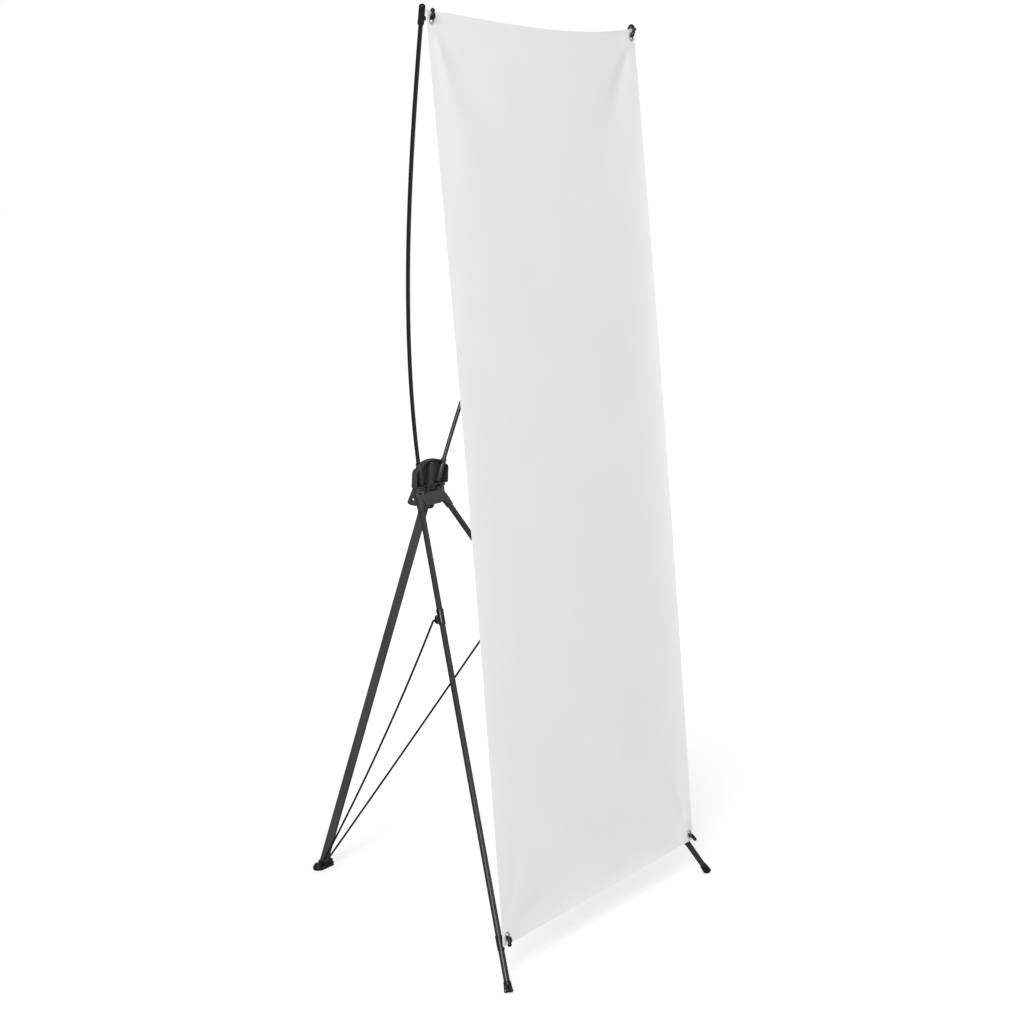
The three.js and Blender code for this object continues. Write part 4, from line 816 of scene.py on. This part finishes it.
def fluted_cap(place):
    """Turned cap with flutes pressed into its outside, cut by the floor where it stands."""
    def make(bm):
        turned([(0, 1.2), (7.8, 1.2), (8.6, 1.6), (9.0, 2.6), (8.9, 5.5), (8.6, 8.5), (8.3, 11.5),
                (8.05, 14.5), (7.9, 17), (7.8, 19), (7.7, 21), (7.3, 21.8), (leg_bore, 21.8),
                (leg_bore, 7.7), (0, 7.7)], steps=120)(bm)
        for vert in bm.verts:
            if math.hypot(vert.co.x, vert.co.y) > cap_outside_from and vert.co.z < flute_top:
                wave = math.cos(flutes * math.atan2(vert.co.y, vert.co.x))
                fade = min(1.0, (flute_top - vert.co.z) / flute_fade)
                inwards = 1 - flute_depth * fade * max(0.0, wave) ** 1.5
                vert.co.x *= inwards
                vert.co.y *= inwards
        bmesh.ops.transform(bm, matrix=place, verts=bm.verts)
        bmesh.ops.bisect_plane(bm, geom=bm.verts[:] + bm.edges[:] + bm.faces[:], plane_co=(0, 0, 0),
                               plane_no=(0, 0, -1), clear_outer=True)
        bmesh.ops.holes_fill(bm, edges=[edge for edge in bm.edges if edge.is_boundary])
    return make


for side, word in sides:
    cap = bmesh.new()
    shell(cap, fluted_cap(Matrix.Translation(foot_point[side]) @ leg_place[side].to_3x3().to_4x4()))
    finished(cap, f"foot_cap_rubber_{word}", black_rubber, f"front_leg_{word}",
             f"foot_cap_{word}")


# Poles: smooth black glass-fibre rods, 8.7 mm thick, straight in the hub's sleeves and in the
# caps, and bent into a long bow between by the pull of the sheet.
pole_skin = skin("pole_skin", (0.008, 0.008, 0.0084), (0.014, 0.014, 0.0144), (0.02, 0.02, 0.02),
                 edge_amount=0.1, cloud=900, grain=2600, roughness=(0.14, 0.24), bump=0.25, along="grain",
                 squeeze=(1, 1, 0.012))
end_way = {side: Vector((side * 0.3564, -0.3427, 0.8702)).normalized() for side in (-1, 1)}
pole_top = {side: eyelet_at[side, 1] + Vector((side * 6.1, 18.6, -5.5)) for side in (-1, 1)}
rod_radius, root_pull, end_pull = 4.35, 0.3212, 0.3456
for side, word in sides:
    mouth, top, rooted, ended = pole_mouth[side], pole_top[side], root_way[side], end_way[side]
    span = (top - mouth).length
    path = [mouth - rooted * 23, mouth - rooted * 8, mouth]
    path += bezier(mouth, mouth + rooted * span * root_pull, top - ended * span * end_pull, top, 90)
    path += [top + ended * 14, top + ended * 27]
    pole = bmesh.new()
    bar(path, rod_radius, 28)(pole)
    bmesh.ops.recalc_face_normals(pole, faces=pole.faces)
    finished(pole, f"pole_rod_{word}", pole_skin, f"pole_{word}", f"pole_{word}")


# Pole caps: black nylon thimbles with a domed end and a tapered mouth, and a ball-ended hook at
# the side that takes the sheet's upper eyelet.
cap_radius, cap_straight, dome_rise, hook_along_cap = 6.2, 32.3, 5, 6.9
thimble = [(0, 27.3), (rod_bore, 27.3), (rod_bore, -5.7), (5.2, -5.7), (6.3, -2.6), (6.5, -1.6),
           (6.5, 0.6), (cap_radius, 3.6)]
thimble += arc(cap_radius, 0, 90, 10, middle=(0, cap_straight), rise=dome_rise)
thimble += [(0, cap_straight + dome_rise)]
for side, word in sides:
    top, eyelet = pole_top[side], eyelet_at[side, 1]
    cap = bmesh.new()
    shell(cap, turned(thimble, standing_on(top, end_way[side])))
    shell(cap, hook(top + end_way[side] * hook_along_cap, eyelet + hook_off_middle,
                    Vector((side * -1.5, -5, 0)), eyelet + Vector((side * 3.6, -6.5, 15.8))))
    finished(cap, f"pole_cap_moulding_{word}", clip_nylon, f"pole_{word}",
             f"pole_cap_{word}")


# Eyelets: two-part nickelled rings pressed through the sheet's corners, domed in front and flat
# behind.
nickel = skin("nickel", (0.76, 0.75, 0.74), (0.8, 0.79, 0.78), (0.84, 0.84, 0.83),
              edge_amount=0.2, cloud=160, grain=2600, roughness=(0.2, 0.28), bump=0.03, metallic=0.6)
ring_profile = [(5.6, 0.4), (5.7, 1.2), (6.2, 1.75), (7.2, 1.95), (8.5, 1.8), (9.5, 1.3), (10, 0.7),
                (9.9, 0.4), (6.2, 0.4), (6.2, -0.4), (9.9, -0.4), (10, -0.8), (9.6, -1.2), (6.8, -1.3),
                (5.9, -1.2), (5.6, -0.8)]
for corner, word in zip(corners, ("top_left", "top_right", "bottom_left", "bottom_right")):
    ring_place = (sheet_place @ Matrix.Translation(sheet_place.inverted() @ eyelet_at[corner])
                  @ Matrix.Rotation(math.radians(90), 4, "X"))
    ring = bmesh.new()
    shell(ring, turned(ring_profile, ring_place, looped=True))
    finished(ring, f"eyelet_ring_{word}", nickel, "banner_set", f"eyelet_{word}")


# Banner: one blank sheet of white display film, 800 by 1800 mm, stretched between the four hooks.
# Its upper edge sags, its left edge turns back and its right and lower ones forward, and creases
# run out of its corners.
film = bpy.data.materials.new("white_film")
film.use_nodes = True
nodes, links = film.node_tree.nodes, film.node_tree.links
film_shader = nodes["Principled BSDF"]
film_shader.inputs["Specular IOR Level"].default_value = 0.4
film_place = nodes.new("ShaderNodeUVMap")
film_place.uv_map = "sheet"
film_scale = nodes.new("ShaderNodeMapping")
film_scale.inputs["Scale"].default_value = (0.8, 1.8, 1)
film_cloud = nodes.new("ShaderNodeTexNoise")
film_cloud.inputs["Scale"].default_value = 5
film_cloud.inputs["Detail"].default_value = 3
film_tone = nodes.new("ShaderNodeMapRange")
film_tone.inputs["From Min"].default_value = 0.3
film_tone.inputs["From Max"].default_value = 0.7
film_colour = nodes.new("ShaderNodeMix")
film_colour.data_type = "RGBA"
film_colour.inputs["A"].default_value = (0.835, 0.835, 0.84, 1)
film_colour.inputs["B"].default_value = (0.855, 0.855, 0.858, 1)
film_grain = nodes.new("ShaderNodeTexNoise")
film_grain.inputs["Scale"].default_value = 1600
film_grain.inputs["Detail"].default_value = 2
film_gloss = nodes.new("ShaderNodeMapRange")
film_gloss.inputs["To Min"].default_value = 0.46
film_gloss.inputs["To Max"].default_value = 0.56
film_relief = nodes.new("ShaderNodeBump")
film_relief.inputs["Strength"].default_value = 0.15
film_relief.inputs["Distance"].default_value = 0.0001
links.new(film_place.outputs[0], film_scale.inputs["Vector"])
for texture in (film_cloud, film_grain):
    links.new(film_scale.outputs[0], texture.inputs["Vector"])
links.new(film_cloud.outputs["Fac"], film_tone.inputs["Value"])
links.new(film_tone.outputs["Result"], film_colour.inputs["Factor"])
links.new(film_colour.outputs["Result"], film_shader.inputs["Base Color"])
links.new(film_cloud.outputs["Fac"], film_gloss.inputs["Value"])
links.new(film_gloss.outputs["Result"], film_shader.inputs["Roughness"])
links.new(film_grain.outputs["Fac"], film_relief.inputs["Height"])
links.new(film_relief.outputs[0], film_shader.inputs["Normal"])


def closer_at_ends(share):
    """Moves a share between -1 and 1 outwards, so that a grid's lines lie closer at its ends."""
    return 0.6 * share + 0.4 * math.sin(math.pi / 2 * share)


hole_radius, near_hole = 6.5, 10
sheet = bmesh.new()
bmesh.ops.create_grid(sheet, x_segments=100, y_segments=220, size=1)
reach_x, reach_y = max(vert.co.x for vert in sheet.verts), max(vert.co.y for vert in sheet.verts)
for vert in sheet.verts:
    vert.co.x = sheet_wide / 2 * closer_at_ends(vert.co.x / reach_x)
    vert.co.y = sheet_tall / 2 * (1 + closer_at_ends(vert.co.y / reach_y))
for flat in eyelet_flat.values():
    middle = Vector((flat.x, flat.z, 0))
    for reach in (26, 14):
        near = [edge for edge in sheet.edges
                if all((vert.co - middle).length < reach for vert in edge.verts)]
        bmesh.ops.subdivide_edges(sheet, edges=near, cuts=1, use_grid_fill=True)
    hole = [face for face in sheet.faces
            if (face.calc_center_median() - middle).length < hole_radius - 0.1]
    bmesh.ops.delete(sheet, geom=hole, context="FACES")
    for vert in sheet.verts:
        if vert.is_boundary and (vert.co - middle).length < near_hole:
            vert.co = middle + (vert.co - middle).normalized() * hole_radius
sheet_uv = sheet.loops.layers.uv.new("sheet")
for face in sheet.faces:
    for loop in face.loops:
        loop[sheet_uv].uv = (loop.vert.co.x / sheet_wide + 0.5, loop.vert.co.y / sheet_tall)
for vert in sheet.verts:
    vert.co = on_sheet(vert.co.x, vert.co.y)
bmesh.ops.recalc_face_normals(sheet, faces=sheet.faces)
cut_edges = [edge.is_boundary for edge in sheet.edges]
banner = finished(sheet, "banner_sheet", film, "banner_set", "banner")
for edge, bare in zip(banner.data.edges, cut_edges):
    edge.use_edge_sharp = bare
thickness = banner.modifiers.new("film_thickness", "SOLIDIFY")
thickness.thickness = sheet_thick / metre
thickness.offset = 0
